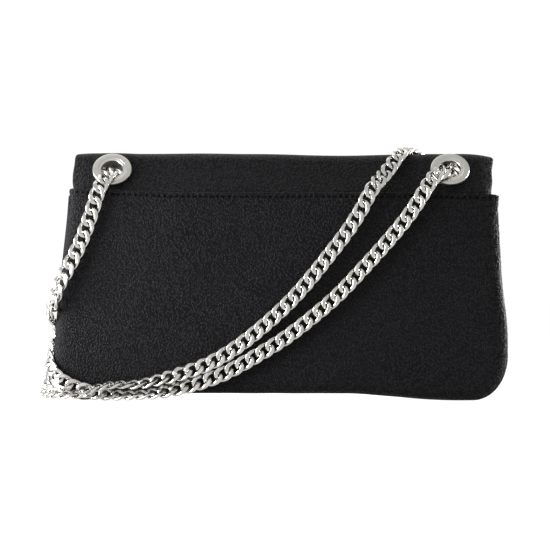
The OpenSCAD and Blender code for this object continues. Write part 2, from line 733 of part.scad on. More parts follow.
upper_shares = [
    on_roof(eyelet_x - 2.88 * e_r, e_up + 0.43 * e_r, 1.25, -1, [-0.1, 1, 0]),
    on_roof(eyelet_x - 3.211 * e_r, e_up - 0.152 * e_r, 0.921, -1, [-0.42, 1.06, 0]),
    on_back(0.401, 1.03, 1.25),
    on_back(0.357, 0.935),
    on_back(0.29, 0.82),
    on_back(0.214, 0.711),
    on_back(0.13, 0.594),
    on_back(0.031, 0.472),
    on_back(-0.08, 0.36),
    on_back(-0.194, 0.261),
    beside(-0.316, -1.21, 0.181, [0, -0.97, 0.2]),
    beside(-0.44, -1.26, 0.133, [0, -0.8, 0.55]),
    beside(-0.54, -1.29, 0.104, [0, -0.6, 0.8]),
    beside(-0.64, -1.31, 0.083, [0, -0.35, 0.93]),
    beside(-0.735, -1.41, 0.083, [0, -0.2, 0.97]),
    beside(-0.825, -1.548, 0.062, [-0.06, -0.12, 1.06]),
    beside(-0.894, -1.714, 0.035, [0, -0.33, 0.97])];
side_shares = [
    at_side(-1.991, -1.586, 0.039, [-0.41, -0.14, 1.23]),
    at_side(0.682, -1.232, 0.042, [-0.4, -0.59, 0.75]),
    at_side(2.098, -0.816, 0.066, [-0.86, -0.26, 0.46]),
    at_side(1.81, -0.395, 0.109, [-1, -0.05, 0.35]),
    at_side(0.939, 0.016, 0.172, [-0.97, -0.25, 0.31]),
    in_fold(0.2, 0.3, 1.3),
    in_fold(0.31, 0.43, 1.05),
    in_fold(0.35, 0.56),
    in_fold(0.36, 0.7),
    in_fold(0.36, 0.84)];
turn_shares = [
    [[-fold_x(gusset_top) - 0.9 * seat, 0.35 * body_d / 2, 0.95 * wall_h], [-1, 0, 0]],
    [[-flap_w / 2 - 1.55 * seat, 0.5 * body_d / 2, wall_h - 0.1 * e_r], [-1, 0, 0]],
    on_roof(-flap_w / 2 - 1.73 * seat, e_up - 0.88 * e_r, -2.59, 1, [-0.62, 0, -1]),
    on_roof(-flap_w / 2 - 1.7 * seat, e_up - 0.62 * e_r, 1.37, 1, [0, 1.37, -1]),
    on_roof(-flap_w / 2 - 0.12 * seat, e_up - 0.47 * e_r, 2.54, 1, [0, 0.84, -0.7]),
    on_roof(-eyelet_x - 1.12 * e_r, e_up - 0.33 * e_r, 2.83, 1, [0.26, 1, 0]),
    on_roof(-eyelet_x - 0.58 * e_r, e_up - 0.12 * e_r, 2.75, 1, [0, 0.9, 0.4]),
    on_roof(-eyelet_x - 0.22 * e_r, e_up - 0.05 * e_r, 1.5, 1, [0.1, 0.7, 0.7]),
    on_roof(-eyelet_x - 0.04 * e_r, e_up, 0, 1, [0.25, 0, 0.97])];
left_inside_shares = [
    on_roof(-eyelet_x + 0.16 * e_r, e_up + 0.02 * e_r, -2.2, 1, [0.3, 0, 0.95]),
    [[-eyelet_x + 0.16 * e_r, 0, wall_h + 0.93 * e_r], unit([0.75, 0, 0.65])],
    on_roof(-eyelet_x + 0.06 * e_r, e_up + 0.16 * e_r, -2.2, -1, [0.9, 0, 0.43])];

route_shares = [left_shares, lower_shares, right_inside_shares, ridge_shares, upper_shares,
    side_shares, turn_shares, left_inside_shares];
route = [for (p = route_shares) each p];
route_n = len(route);

// Catmull-Rom curve through the route's points, closed on itself
curve_steps = 8;
function spline(a, b, c, d, t) = (2 * b + (c - a) * t + (2 * a - 5 * b + 4 * c - d) * t * t
    + (3 * b - a - 3 * c + d) * t * t * t) / 2;
function at(k) = route[(k + route_n) % route_n];
curve = [for (k = [0 : route_n - 1]) for (m = [0 : curve_steps - 1]) let (t = m / curve_steps)
    spline(at(k - 1)[0], at(k)[0], at(k + 1)[0], at(k + 2)[0], t)];
looks = [for (k = [0 : route_n - 1]) for (m = [0 : curve_steps - 1]) let (t = m / curve_steps)
    unit(at(k)[1] * (1 - t) + at(k + 1)[1] * t)];
curve_n = len(curve);
// Length run at each point of the curve, with the whole length last
runs = [for (k = 0, s = 0; k <= curve_n;
    s = s + norm(curve[(k + 1) % curve_n] - curve[k % curve_n]), k = k + 1) s];
chain_l = runs[curve_n];
links = round(chain_l / link_pitch);
step_l = chain_l / links;

// Index of the last point of the curve at or before the length s, found by halving
function seek(s, lo, hi) = hi - lo <= 1 ? lo
    : let (mid = floor((lo + hi) / 2)) runs[mid] <= s ? seek(s, mid, hi) : seek(s, lo, mid);
function place(s_any) = let (
    s = s_any - chain_l * floor(s_any / chain_l),
    k = seek(s, 0, curve_n),
    f = (s - runs[k]) / (runs[k + 1] - runs[k]),
    n = (k + 1) % curve_n)
    [curve[k] * (1 - f) + curve[n] * f, unit(looks[k] * (1 - f) + looks[n] * f)];
joints = [for (k = [0 : links]) place(k * step_l)];

// The points of link k, between the route's places k and k + 1
function placed_link(k) = let (
    a = joints[k], b = joints[k + 1],
    x = unit(b[0] - a[0]),
    look = a[1] + b[1],
    z = unit(look - (look * x) * x),
    y = cross(z, x),
    mid = (a[0] + b[0]) / 2)
    [for (p = link_points) mid + p[0] * x + p[1] * y + p[2] * z];

// First link of each part of the route: the link whose middle has passed its first point
firsts = [for (p = 0, n = 0; p <= len(route_shares);
    n = n + (p < len(route_shares) ? len(route_shares[p]) : 0), p = p + 1)
    round(runs[n * curve_steps] / step_l)];

module chain_part(p) {
    n_pts = link_rings * link_sides;
    count = firsts[p + 1] - firsts[p];
    color(nickel) polyhedron(
        points = [for (k = [firsts[p] : firsts[p + 1] - 1]) each placed_link(k)],
        faces = [for (k = [0 : count - 1]) for (f = link_faces) f + k * n_pts * [1, 1, 1]]);
}

module chain_left() { chain_part(0); }
module chain_lower() { chain_part(1); }
module chain_right_passage() { chain_part(2); }
module chain_ridge() { chain_part(3); }
module chain_upper() { chain_part(4); }
module chain_side() { chain_part(5); }
module chain_turn() { chain_part(6); }
module chain_left_passage() { chain_part(7); }

echo(chain_l = chain_l, links = links, step_l = step_l, firsts = firsts, ridge_z = ridge_z);

gusset();
back_panel();
back_pocket();
front_panel();
flap();
flap_lining();
yoke_lining();
base_board();
lining_back();
lining_front();
lining_gusset();
facing_front();
facing_back();
zip_pocket_bag();
zip_frame();
zip_tape();
zip_coil();
zip_slider();
zip_puller();
slip_pocket();
eyelet_back_left();
eyelet_back_right();
eyelet_flap_left();
eyelet_flap_right();
washer_back_left();
washer_back_right();
washer_flap_left();
washer_flap_right();
snap_socket();
snap_socket_washer();
snap_stud();
snap_stud_washer();
chain_left();
chain_lower();
chain_right_passage();
chain_ridge();
chain_upper();
chain_side();
chain_turn();
chain_left_passage();
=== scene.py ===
"""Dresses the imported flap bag: leather skins, curb chain, eyelets, lining, stage and camera.

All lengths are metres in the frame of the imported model: +Z up, +X to the right of the back
view, -Y out of the back face, the origin at the middle of the base.
"""
import logging
import math
from dataclasses import dataclass, field
from enum import Enum
from typing import Any, Optional

import bpy
import numpy as np
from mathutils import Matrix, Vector


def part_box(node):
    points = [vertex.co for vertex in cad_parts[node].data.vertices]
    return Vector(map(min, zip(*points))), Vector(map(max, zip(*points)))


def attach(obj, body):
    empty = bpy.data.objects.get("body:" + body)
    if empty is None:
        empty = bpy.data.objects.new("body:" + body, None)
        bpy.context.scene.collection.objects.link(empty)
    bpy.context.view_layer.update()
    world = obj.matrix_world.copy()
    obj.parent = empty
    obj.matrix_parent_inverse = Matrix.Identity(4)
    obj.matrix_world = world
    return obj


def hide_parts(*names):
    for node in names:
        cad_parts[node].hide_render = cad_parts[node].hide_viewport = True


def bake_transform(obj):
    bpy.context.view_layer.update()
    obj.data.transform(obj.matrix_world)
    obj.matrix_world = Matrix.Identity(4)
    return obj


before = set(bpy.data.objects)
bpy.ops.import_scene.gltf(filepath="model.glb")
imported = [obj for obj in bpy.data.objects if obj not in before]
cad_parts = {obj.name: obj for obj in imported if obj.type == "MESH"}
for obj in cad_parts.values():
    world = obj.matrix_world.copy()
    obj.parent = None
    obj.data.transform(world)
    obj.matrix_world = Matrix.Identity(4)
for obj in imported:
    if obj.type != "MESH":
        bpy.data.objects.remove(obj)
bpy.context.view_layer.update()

log = logging.getLogger("flap_bag")
Array = np.ndarray


class Slot(Enum):
    """Material slots of the record that pieces take their finish from."""

    LEATHER = "leather"
    LINING_LEATHER = "lining_leather"
    CLOTH = "lining_cloth"
    NICKEL = "nickel"
    COIL = "zip_coil"
    BOARD = "board"


class Face(Enum):
    """The two faces of the bag; the value is the sign of Y."""

    BACK = -1
    FRONT = 1


# Small helpers for arrays of points


def unit(v: Array) -> Array:
    """Returns v divided by its length along the last axis."""
    return v / np.maximum(np.linalg.norm(v, axis=-1, keepdims=True), 1e-12)


def held(t: Array) -> Array:
    """Returns t held to 0..1."""
    return np.clip(t, 0.0, 1.0)


def smooth(t: Array) -> Array:
    """Returns the smooth step 3t^2 - 2t^3 of t held to 0..1."""
    t = held(t)
    return t * t * (3.0 - 2.0 * t)


@dataclass(frozen=True)
class Step:
    """A smooth step: 0 up to start, and height from start + reach on."""

    start: float
    reach: float
    height: float = 1.0

    def at(self, t: Array) -> Array:
        """Value of the step at t."""
        return self.height * smooth((t - self.start) / self.reach)


def grey(tone: float) -> tuple[float, float, float, float]:
    """An opaque grey of one tone."""
    return (tone, tone, tone, 1.0)


def closer_at_ends(count: int, ease: float) -> Array:
    """Places from -1 to 1, closer at the ends: (1 - ease) u + ease sin(pi u / 2)."""
    u = np.linspace(-1, 1, count)
    return (1.0 - ease) * u + ease * np.sin(np.pi / 2 * u)


def circle(count: int) -> Array:
    """Returns count equal steps round a circle, in radians."""
    return 2 * np.pi * np.arange(count) / count


def arc(centre: tuple, radius: float, angles: Array) -> Array:
    """Returns the places (c0 + r cos a, c1 + r sin a) for the given angles."""
    return np.stack([centre[0] + radius * np.cos(angles),
                     centre[1] + radius * np.sin(angles)], -1)


def ripple(a: Array, b: Array, wave: float, seed: int, terms: int = 7) -> Array:
    """Soft, seeded unevenness over two lengths.

    It is a sum of sines in random directions whose waves lie between 0.6 and 1.6 times the
    given one, divided by the root of their number.

    Args:
        a: First length, in metres.
        b: Second length, in metres.
        wave: Middle wavelength, in metres.
        seed: Seed of the random directions.
        terms: Number of sines.

    Returns:
        Values of about -1 to 1, shaped as a and b together.
    """
    rng = np.random.default_rng(seed)
    total = np.zeros(np.broadcast(a, b).shape)
    for _ in range(terms):
        turn, phase = rng.uniform(0, 2 * math.pi, 2)
        k = 2 * math.pi / (wave * rng.uniform(0.6, 1.6))
        total += np.sin(k * (a * math.cos(turn) + b * math.sin(turn)) + phase)
    return total / math.sqrt(terms * 2.0)


@dataclass
class Surface:
    """Points and the faces between them.

    Attributes:
        points: N by 3 places.
        quads: M by 4 indices, turned outwards.
    """

    points: Array
    quads: Array

    @staticmethod
    def grid(points: Array, wrap_rows: bool = False, wrap_columns: bool = False) -> "Surface":
        """Joins a rows by columns by 3 array of places with quads.

        A quad runs along the columns first, so its normal is column step x row step.

        Args:
            points: The places.
            wrap_rows: Joins the last row to the first.
            wrap_columns: Joins the last column to the first.

        Returns:
            The surface.
        """
        rows, columns = points.shape[:2]
        r = np.arange(rows if wrap_rows else rows - 1)[:, None]
        c = np.arange(columns if wrap_columns else columns - 1)[None, :]
        r1, c1 = (r + 1) % rows, (c + 1) % columns
        quads = np.stack(np.broadcast_arrays(
            r * columns + c, r * columns + c1, r1 * columns + c1, r1 * columns + c), -1)
        return Surface(points.reshape(-1, 3), quads.reshape(-1, 4))

    @staticmethod
    def joined(parts: list["Surface"]) -> "Surface":
        """Puts several surfaces into one, each still apart from the others."""
        starts = np.cumsum([0] + [len(p.points) for p in parts[:-1]])
        return Surface(np.concatenate([p.points for p in parts]),
                       np.concatenate([p.quads + s for p, s in zip(parts, starts)]))

    def normals(self) -> Array:
        """Unit normal of each point: the sum of its quads' diagonal cross products."""
        p = self.points[self.quads]
        n = np.cross(p[:, 2] - p[:, 0], p[:, 3] - p[:, 1])
        total = np.zeros_like(self.points)
        np.add.at(total, self.quads.ravel(), np.repeat(n, 4, axis=0))
        return unit(total)

    def pushed(self, offset: Array) -> "Surface":
        """Moves each point along its normal by its own offset."""
        return Surface(self.points + offset.reshape(-1, 1) * self.normals(), self.quads)

    def pierced(self, centre: Array, axis: Array, radius: float, reach: float) -> "Surface":
        """Cuts a round hole.

        Quads wholly inside the circle go, and the inner points of those that stay move out
        along their radius onto the circle.

        Args:
            centre: A point on the hole's axis.
            axis: The hole's direction, of length 1.
            radius: The hole's radius.
            reach: Points further than this from centre along the axis are left alone.

        Returns:
            The surface with its hole.
        """
        d = self.points - centre
        along = d @ axis
        flat = d - along[:, None] * axis
        r = np.linalg.norm(flat, axis=1)
        inside = (r < radius) & (np.abs(along) < reach)
        keep = ~inside[self.quads].all(axis=1)
        points = self.points.copy()
        points[inside] += flat[inside] * (radius / np.maximum(r[inside], 1e-9) - 1.0)[:, None]
        return Surface(points, self.quads[keep]).compact()

    def compact(self) -> "Surface":
        """Drops the points that no quad uses."""
        used, quads = np.unique(self.quads, return_inverse=True)
        return Surface(self.points[used], quads.reshape(-1, 4))

    def thickened(self, thickness: float, rim_steps: int = 3) -> "Surface":
        """Closes the surface into a sheet with half-round edges.

        The inner face is the outer one moved in along its normals. An edge point's rim is the
        half circle mid + t/2 (cos a normal + sin a outward), from the outer to the inner face.

        Args:
            thickness: Thickness of the sheet.
            rim_steps: Rows of points on the rim between the two faces.

        Returns:
            The closed sheet, its normals outwards.
        """
        count = len(self.points)
        normal = self.normals()
        start = self.quads.ravel()
        end = np.roll(self.quads, -1, axis=1).ravel()
        edge = ~np.isin(start * count + end, end * count + start)
        start, end = start[edge], end[edge]
        outward = np.zeros_like(self.points)
        side = np.cross(unit(self.points[end] - self.points[start]), normal[start] + normal[end])
        np.add.at(outward, start, side)
        np.add.at(outward, end, side)
        rim, place = np.unique(start, return_inverse=True)
        partner = np.searchsorted(rim, end)
        outward = unit(outward[rim])
        turn = np.pi * np.arange(1, rim_steps + 1)[:, None, None] / (rim_steps + 1)
        rows = (self.points[rim] - thickness / 2 * normal[rim]
                + thickness / 2 * (np.cos(turn) * normal[rim] + np.sin(turn) * outward))
        inner = self.points - thickness * normal
        first = 2 * count
        loops = [(start, end)]
        loops += [(first + k * len(rim) + place, first + k * len(rim) + partner)
                  for k in range(rim_steps)]
        loops += [(start + count, end + count)]
        walls = [np.stack([b0, a0, a1, b1], -1)
                 for (a0, b0), (a1, b1) in zip(loops[:-1], loops[1:])]
        return Surface(np.concatenate([self.points, inner, rows.reshape(-1, 3)]),
                       np.concatenate([self.quads, self.quads[:, ::-1] + count] + walls))


def turned(profile: Array, steps: int) -> Surface:
    """Turns a closed profile of (radius, height) pairs once round the Z axis.

    Args:
        profile: K by 2 array, clockwise when radius runs right and height up.
        steps: Points round the circle.

    Returns:
        The closed ring.
    """
    a = circle(steps)[:, None]
    points = np.stack([profile[:, 0] * np.cos(a), profile[:, 0] * np.sin(a),
                       np.broadcast_to(profile[:, 1], (steps, len(profile)))], -1)
    return Surface.grid(points, wrap_rows=True, wrap_columns=True)


def swept(path: Array, across: Array, closed: bool) -> Surface:
    """Carries closed sections along a path.

    Args:
        path: K by 3 centres.
        across: K by S by 3 offsets of the section's points from their centre.
        closed: Joins the last section to the first.

    Returns:
        The tube; an open one is closed by a fan that ends in its own centre.
    """
    points = path[:, None, :] + across
    if not closed:
        first, last = (np.repeat(path[k:k + 1 or None, None], across.shape[1], axis=1)
                       for k in (0, -1))
        points = np.concatenate([first, points, last])
    return Surface.grid(points, wrap_rows=closed, wrap_columns=True)


def add_piece(name: str, surface: Surface, material: bpy.types.Material) -> bpy.types.Object:
    """Makes a Blender object of a surface.

    Args:
        name: The piece's name.
        surface: Its points and quads.
        material: Its material.

    Returns:
        The object, at the origin, with its place in its mesh.
    """
    mesh = bpy.data.meshes.new(name)
    count, faces = len(surface.points), len(surface.quads)
    mesh.vertices.add(count)
    mesh.vertices.foreach_set("co", surface.points.astype(np.float32).ravel())
    mesh.loops.add(faces * 4)
    mesh.loops.foreach_set("vertex_index", surface.quads.astype(np.int32).ravel())
    mesh.polygons.add(faces)
    mesh.polygons.foreach_set("loop_start", (4 * np.arange(faces)).astype(np.int32))
    mesh.polygons.foreach_set("use_smooth", np.ones(faces, bool))
    mesh.update(calc_edges=True)
    mesh.validate()
    mesh.materials.append(material)
    piece = bpy.data.objects.new(name, mesh)
    bpy.context.scene.collection.objects.link(piece)
    log.info("%s: %d quads", name, faces)
    return piece


# Shader maths as plain expressions


def operator(operation: str, swapped: bool = False) -> Any:
    """Returns a method of Value that adds one Math node on it and any others.

    Args:
        operation: The node's operation.
        swapped: Puts the other value first.
    """
    def method(self: "Value", *others: Any) -> "Value":
        """Adds the node and returns its output."""
        values = (*others, self) if swapped else (self, *others)
        return Value(self.graph, self.graph.add(
            "ShaderNodeMath", {"operation": operation}, dict(enumerate(values))).outputs[0])
    return method


class Value:
    """A number socket that Python's operators can work on."""

    __add__, __radd__ = operator("ADD"), operator("ADD", True)
    __sub__, __rsub__ = operator("SUBTRACT"), operator("SUBTRACT", True)
    __mul__, __rmul__ = operator("MULTIPLY"), operator("MULTIPLY", True)
    sine, most = operator("SINE"), operator("MAXIMUM")

    def __init__(self, graph: "Graph", socket: Any) -> None:
        """Keeps the graph and the socket."""
        self.graph = graph
        self.socket = socket

    def ramp(self, low: float, high: float) -> "Value":
        """Maps low..high to 0..1 smoothly and holds it there."""
        node = self.graph.add("ShaderNodeMapRange", {"interpolation_type": "SMOOTHSTEP"},
                              {"Value": self, "From Min": low, "From Max": high})
        return Value(self.graph, node.outputs[0])


class Graph:
    """Nodes of one material, or of the world."""

    def __init__(self, name: str, world: bool = False) -> None:
        """Starts an empty material or world of the given name."""
        self.owner = (bpy.data.worlds if world else bpy.data.materials).new(name)
        self.owner.use_nodes = True
        self.tree = self.owner.node_tree
        self.tree.nodes.clear()

    def add(self, kind: str, settings: Optional[dict] = None,
            inputs: Optional[dict] = None) -> Any:
        """Adds a node.

        Args:
            kind: The node's type name.
            settings: Properties, set first.
            inputs: Values, links or Value objects by socket name or number.

        Returns:
            The node.
        """
        node = self.tree.nodes.new(kind)
        for key, value in (settings or {}).items():
            setattr(node, key, value)
        for key, value in (inputs or {}).items():
            socket = node.inputs[key]
            source = value.socket if isinstance(value, Value) else value
            if isinstance(source, bpy.types.NodeSocket):
                self.tree.links.new(source, socket)
            else:
                socket.default_value = source
        return node

    def place(self, scale: tuple = (1.0, 1.0, 1.0), turn: float = 0.0) -> Any:
        """Object coordinates, scaled and turned about Z.

        Args:
            scale: Scale along each axis.
            turn: Turn about Z, in radians.

        Returns:
            The vector socket.
        """
        where = self.add("ShaderNodeTexCoord")
        mapping = self.add("ShaderNodeMapping", {"vector_type": "POINT"},
                           {"Vector": where.outputs["Object"], "Rotation": (0.0, 0.0, turn),
                            "Scale": scale})
        return mapping.outputs[0]

    def axes(self) -> tuple[Value, Value, Value]:
        """Object coordinates as three values."""
        parts = self.add("ShaderNodeSeparateXYZ", None, {0: self.place()})
        return tuple(Value(self, parts.outputs[k]) for k in range(3))

    def seen(self) -> Value:
        """1 in what the camera, gloss or a see-through place shows, 0 in all other light."""
        path = self.add("ShaderNodeLightPath")
        camera, gloss, through = (Value(self, path.outputs["Is %s Ray" % kind])
                                  for kind in ("Camera", "Glossy", "Transmission"))
        return camera.most(gloss).most(through)

    def noise(self, vector: Any, size: float, detail: float = 2.0, rough: float = 0.5) -> Value:
        """Noise whose blobs measure about size metres, from 0 to 1."""
        node = self.add("ShaderNodeTexNoise", None,
                        {"Vector": vector, "Scale": 1.0 / size, "Detail": detail,
                         "Roughness": rough})
        return Value(self, node.outputs["Fac"])

    def cells(self, vector: Any, size: float) -> Value:
        """Distance from the middle of cells of about size metres, in cell sizes."""
        node = self.add("ShaderNodeTexVoronoi", None, {"Vector": vector, "Scale": 1.0 / size})
        return Value(self, node.outputs["Distance"])

    def mix(self, factor: Any, first: Any, second: Any) -> Any:
        """Mixes two colours by a factor and returns the colour socket."""
        node = self.add("ShaderNodeMix", {"data_type": "RGBA"},
                        {0: factor, 6: first, 7: second})
        return node.outputs[2]

    def bump(self, height: Value, distance: float, strength: float) -> Any:
        """Bump of a height that runs over 0..1, distance metres deep."""
        node = self.add("ShaderNodeBump", None,
                        {"Strength": strength, "Distance": distance, "Height": height})
        return node.outputs[0]

    def finish(self, **inputs: Any) -> bpy.types.Material:
        """Adds the Principled shader and the output.

        Args:
            inputs: The shader's sockets, with _ for a blank.

        Returns:
            The material.
        """
        shader = self.add("ShaderNodeBsdfPrincipled", None,
                          {key.replace("_", " "): value for key, value in inputs.items()})
        self.add("ShaderNodeOutputMaterial", None, {"Surface": shader.outputs[0]})
        return self.owner


@dataclass(frozen=True)
class PebbledLeather:
    """Near-black calf leather with a fine pebbled grain.

    Attributes:
        pebble: Size of one pebble.
        depth: Depth of the creases between pebbles.
        crease_shade: Colour in the creases: the grain's own tone, darkened as painted shade.
        top: Colour on the pebbles.
        gloss: Specular level.
        sheen: Weight of the soft brightening towards the outline.
        warp: Scale of the noise that bends the pebbles' outlines, and how far it does so.
        slope: Distance in a pebble over which its top falls to the crease, in pebbles.
        sizes: Sizes of the broad noise, the fine noise and the patches.
        relief: Shares of pebble, broad and fine noise in the height.
        tint: Shares of even tone, broad noise and patches in the colour.
        matt: Roughness of a crease, what a pebble's top loses and what patches change.
    """

    pebble: float = 0.0012
    depth: float = 0.00036
    crease_shade: tuple = (0.0014, 0.0014, 0.0017, 1.0)
    top: tuple = (0.0106, 0.0103, 0.0121, 1.0)
    gloss: float = 0.06
    sheen: float = 0.03
    warp: tuple[float, float] = (900.0, 0.0004)
    slope: tuple[float, float] = (0.1, 0.7)
    sizes: tuple[float, float, float] = (0.0024, 0.0004, 0.03)
    relief: tuple[float, float, float] = (0.85, 0.08, 0.15)
    tint: tuple[float, float, float] = (0.68, 0.1, 0.25)
    matt: tuple[float, float, float] = (0.56, 0.12, 0.14)

    def make(self, name: str = "pebbled_leather") -> bpy.types.Material:
        """Builds the material.

        The height is the inside of warped cells, rounded, with a finer noise on it. Creases are
        rougher than the pebbles, and their colour is darker as painted shade.
        """
        g = Graph(name)
        at = g.place()
        scale, far = self.warp
        warp = g.add("ShaderNodeTexNoise", None, {"Vector": at, "Scale": scale, "Detail": 1.0})
        shifted = g.add("ShaderNodeVectorMath", {"operation": "MULTIPLY_ADD"},
                        {0: warp.outputs["Color"], 1: (far,) * 3, 2: at}).outputs[0]
        pebble = 1.0 - g.cells(shifted, self.pebble).ramp(*self.slope)
        broad, fine, patch = (g.noise(at, size, detail)
                              for size, detail in zip(self.sizes, (2.0, 2.0, 3.0)))
        shares = self.relief
        height = pebble * shares[0] + broad * shares[1] + fine * shares[2]
        even, of_broad, of_patch = self.tint
        # Painted shade: the colour darkens towards the creases, where the pebble is low.
        colour = g.mix(pebble * (even + broad * of_broad + patch * of_patch),
                       self.crease_shade, self.top)
        crease, lost, changed = self.matt
        rough = crease - pebble * lost + (patch - 0.5) * changed
        return g.finish(Base_Color=colour, Roughness=rough, Specular_IOR_Level=self.gloss,
                        Sheen_Weight=self.sheen, Sheen_Roughness=0.4,
                        Normal=g.bump(height, self.depth, 1.0))


@dataclass(frozen=True)
class LiningLeather:
    """Smooth, matt split leather under the flap and at the mouth.

    Attributes:
        low: Colour of the darker places.
        high: Colour of the lighter places.
        blotch: Size of the mottle.
        pore: Distance from one pore to the next.
        rough: Least roughness.
    """

    low: tuple = (0.012, 0.012, 0.013, 1.0)
    high: tuple = (0.022, 0.022, 0.024, 1.0)
    blotch: float = 0.012
    pore: float = 0.0006
    rough: float = 0.66

    def make(self, name: str = "lining_leather") -> bpy.types.Material:
        """Builds the material: a soft mottle with fine pores."""
        g = Graph(name)
        at = g.place()
        mottle = g.noise(at, self.blotch, 4.0)
        pores = g.cells(at, self.pore).ramp(0.05, 0.35)
        return g.finish(Base_Color=g.mix(mottle, self.low, self.high),
                        Roughness=self.rough + mottle * 0.12, Specular_IOR_Level=0.3,
                        Normal=g.bump(pores * 0.6 + mottle * 0.4, 0.00006, 0.8))


@dataclass(frozen=True)
class LiningCloth:
    """Twill-woven lining cloth.

    Attributes:
        thread: Distance from one twill rib to the next.
        dark: Colour between the ribs.
        light: Colour on the ribs.
        blotch: Size of the mottle.
        rough: Least roughness.
    """

    thread: float = 0.0009
    dark: tuple = (0.03, 0.028, 0.026, 1.0)
    light: tuple = (0.075, 0.07, 0.065, 1.0)
    blotch: float = 0.02
    rough: float = 0.82

    def make(self, name: str = "lining_cloth") -> bpy.types.Material:
        """Builds the material: ribs are sines along a slanted direction, crossed by threads."""
        g = Graph(name)
        x, y, z = g.axes()
        k = 2 * math.pi / self.thread
        ribs = ((x + y + z * 0.8) * k).sine() * 0.5 + 0.5
        threads = ((x + y - z * 1.1) * (k * 2.3)).sine() * 0.5 + 0.5
        weave = ribs * 0.7 + threads * 0.3
        mottle = g.noise(g.place(), self.blotch, 3.0)
        return g.finish(Base_Color=g.mix(weave * (0.6 + mottle * 0.5), self.dark, self.light),
                        Roughness=self.rough + mottle * 0.08, Specular_IOR_Level=0.2,
                        Sheen_Weight=0.15, Normal=g.bump(weave, 0.0001, 0.7))


@dataclass(frozen=True)
class SatinNickel:
    """Warm satin nickel with hair-fine scratches.

    Attributes:
        low: Colour of the duller places.
        high: Colour of the brighter places.
        rough: Middle roughness.
        wear: Size of the blotches in the polish.
        hair: Size of the scratches, which are seven times as long as wide.
    """

    low: tuple = (0.35, 0.34, 0.32, 1.0)
    high: tuple = (0.51, 0.50, 0.475, 1.0)
    rough: float = 0.2
    wear: float = 0.004
    hair: float = 0.0009

    def make(self, name: str = "satin_nickel") -> bpy.types.Material:
        """Builds the material: blotchy polish, fine stretched scratches in the bump."""
        g = Graph(name)
        at = g.place()
        blotch = g.noise(at, self.wear, 3.0)
        hair = g.noise(g.place((1.0, 1.0, 7.0), 0.6), self.hair, 3.0)
        return g.finish(Base_Color=g.mix(blotch, self.low, self.high), Metallic=1.0,
                        Roughness=(self.rough - 0.07) + blotch * 0.14,
                        Normal=g.bump(hair, 0.00003, 0.5))


@dataclass(frozen=True)
class Thread:
    """Waxed black sewing thread: two plies twisted about each other.

    Attributes:
        dark: Colour between the plies: black thread, made darker still as painted shade of the
            groove it lies in.
        light: Colour on a ply, darkened by the same painted shade.
        ply: Distance from one ply to the next.
    """

    # Both colours hold painted shade: the stitches are darker than black thread so that they show
    # the shade in the sewn groove.
    dark: tuple = (0.0005, 0.0005, 0.0005, 1.0)
    light: tuple = (0.0016, 0.0016, 0.0018, 1.0)
    ply: float = 0.0007

    def make(self, name: str = "sewing_thread_painted_shade") -> bpy.types.Material:
        """Builds the material: slanted plies as a sine along X + Z."""
        g = Graph(name)
        x, _, z = g.axes()
        plies = ((x + z * 1.4) * (2 * math.pi / self.ply)).sine() * 0.5 + 0.5
        return g.finish(Base_Color=g.mix(plies, self.dark, self.light),
                        Roughness=0.6 + plies * 0.1, Specular_IOR_Level=0.03,
                        Normal=g.bump(plies, 0.00008, 0.8))


@dataclass(frozen=True)
class Moulded:
    """Plain moulded or pressed stuff with a fine texture: zip coil, base board.

    Attributes:
        low: Colour of the darker specks.
        high: Colour of the lighter specks.
        rough: Middle roughness.
        grain: Size of the specks.
    """

    low: tuple
    high: tuple
    rough: float
    grain: float

    def make(self, name: str) -> bpy.types.Material:
        """Builds the material: two tones by noise with a light bump."""
        g = Graph(name)
        speck = g.noise(g.place(), self.grain, 4.0, 0.6)
        return g.finish(Base_Color=g.mix(speck, self.low, self.high),
                        Roughness=(self.rough - 0.05) + speck * 0.1,
                        Normal=g.bump(speck, 0.00005, 0.6))


@dataclass
class Finishes:
    """All materials of the bag, made once."""

    leather: bpy.types.Material = field(default_factory=lambda: PebbledLeather().make())
    lining: bpy.types.Material = field(default_factory=lambda: LiningLeather().make())
    cloth: bpy.types.Material = field(default_factory=lambda: LiningCloth().make())
    nickel: bpy.types.Material = field(default_factory=lambda: SatinNickel().make())
    ring: bpy.types.Material = field(
        default_factory=lambda: SatinNickel((0.3, 0.29, 0.27, 1.0), (0.46, 0.45, 0.42, 1.0), 0.3,
                                            0.0016).make("brushed_nickel"))
    thread: bpy.types.Material = field(default_factory=lambda: Thread().make())
    coil: bpy.types.Material = field(default_factory=lambda: Moulded(
        (0.004, 0.004, 0.004, 1.0), (0.02, 0.02, 0.02, 1.0), 0.4, 0.0005).make("coil_nylon"))
    board: bpy.types.Material = field(default_factory=lambda: Moulded(
        (0.12, 0.1, 0.08, 1.0), (0.24, 0.21, 0.17, 1.0), 0.85, 0.0015).make("pressed_board"))


# The bag's form


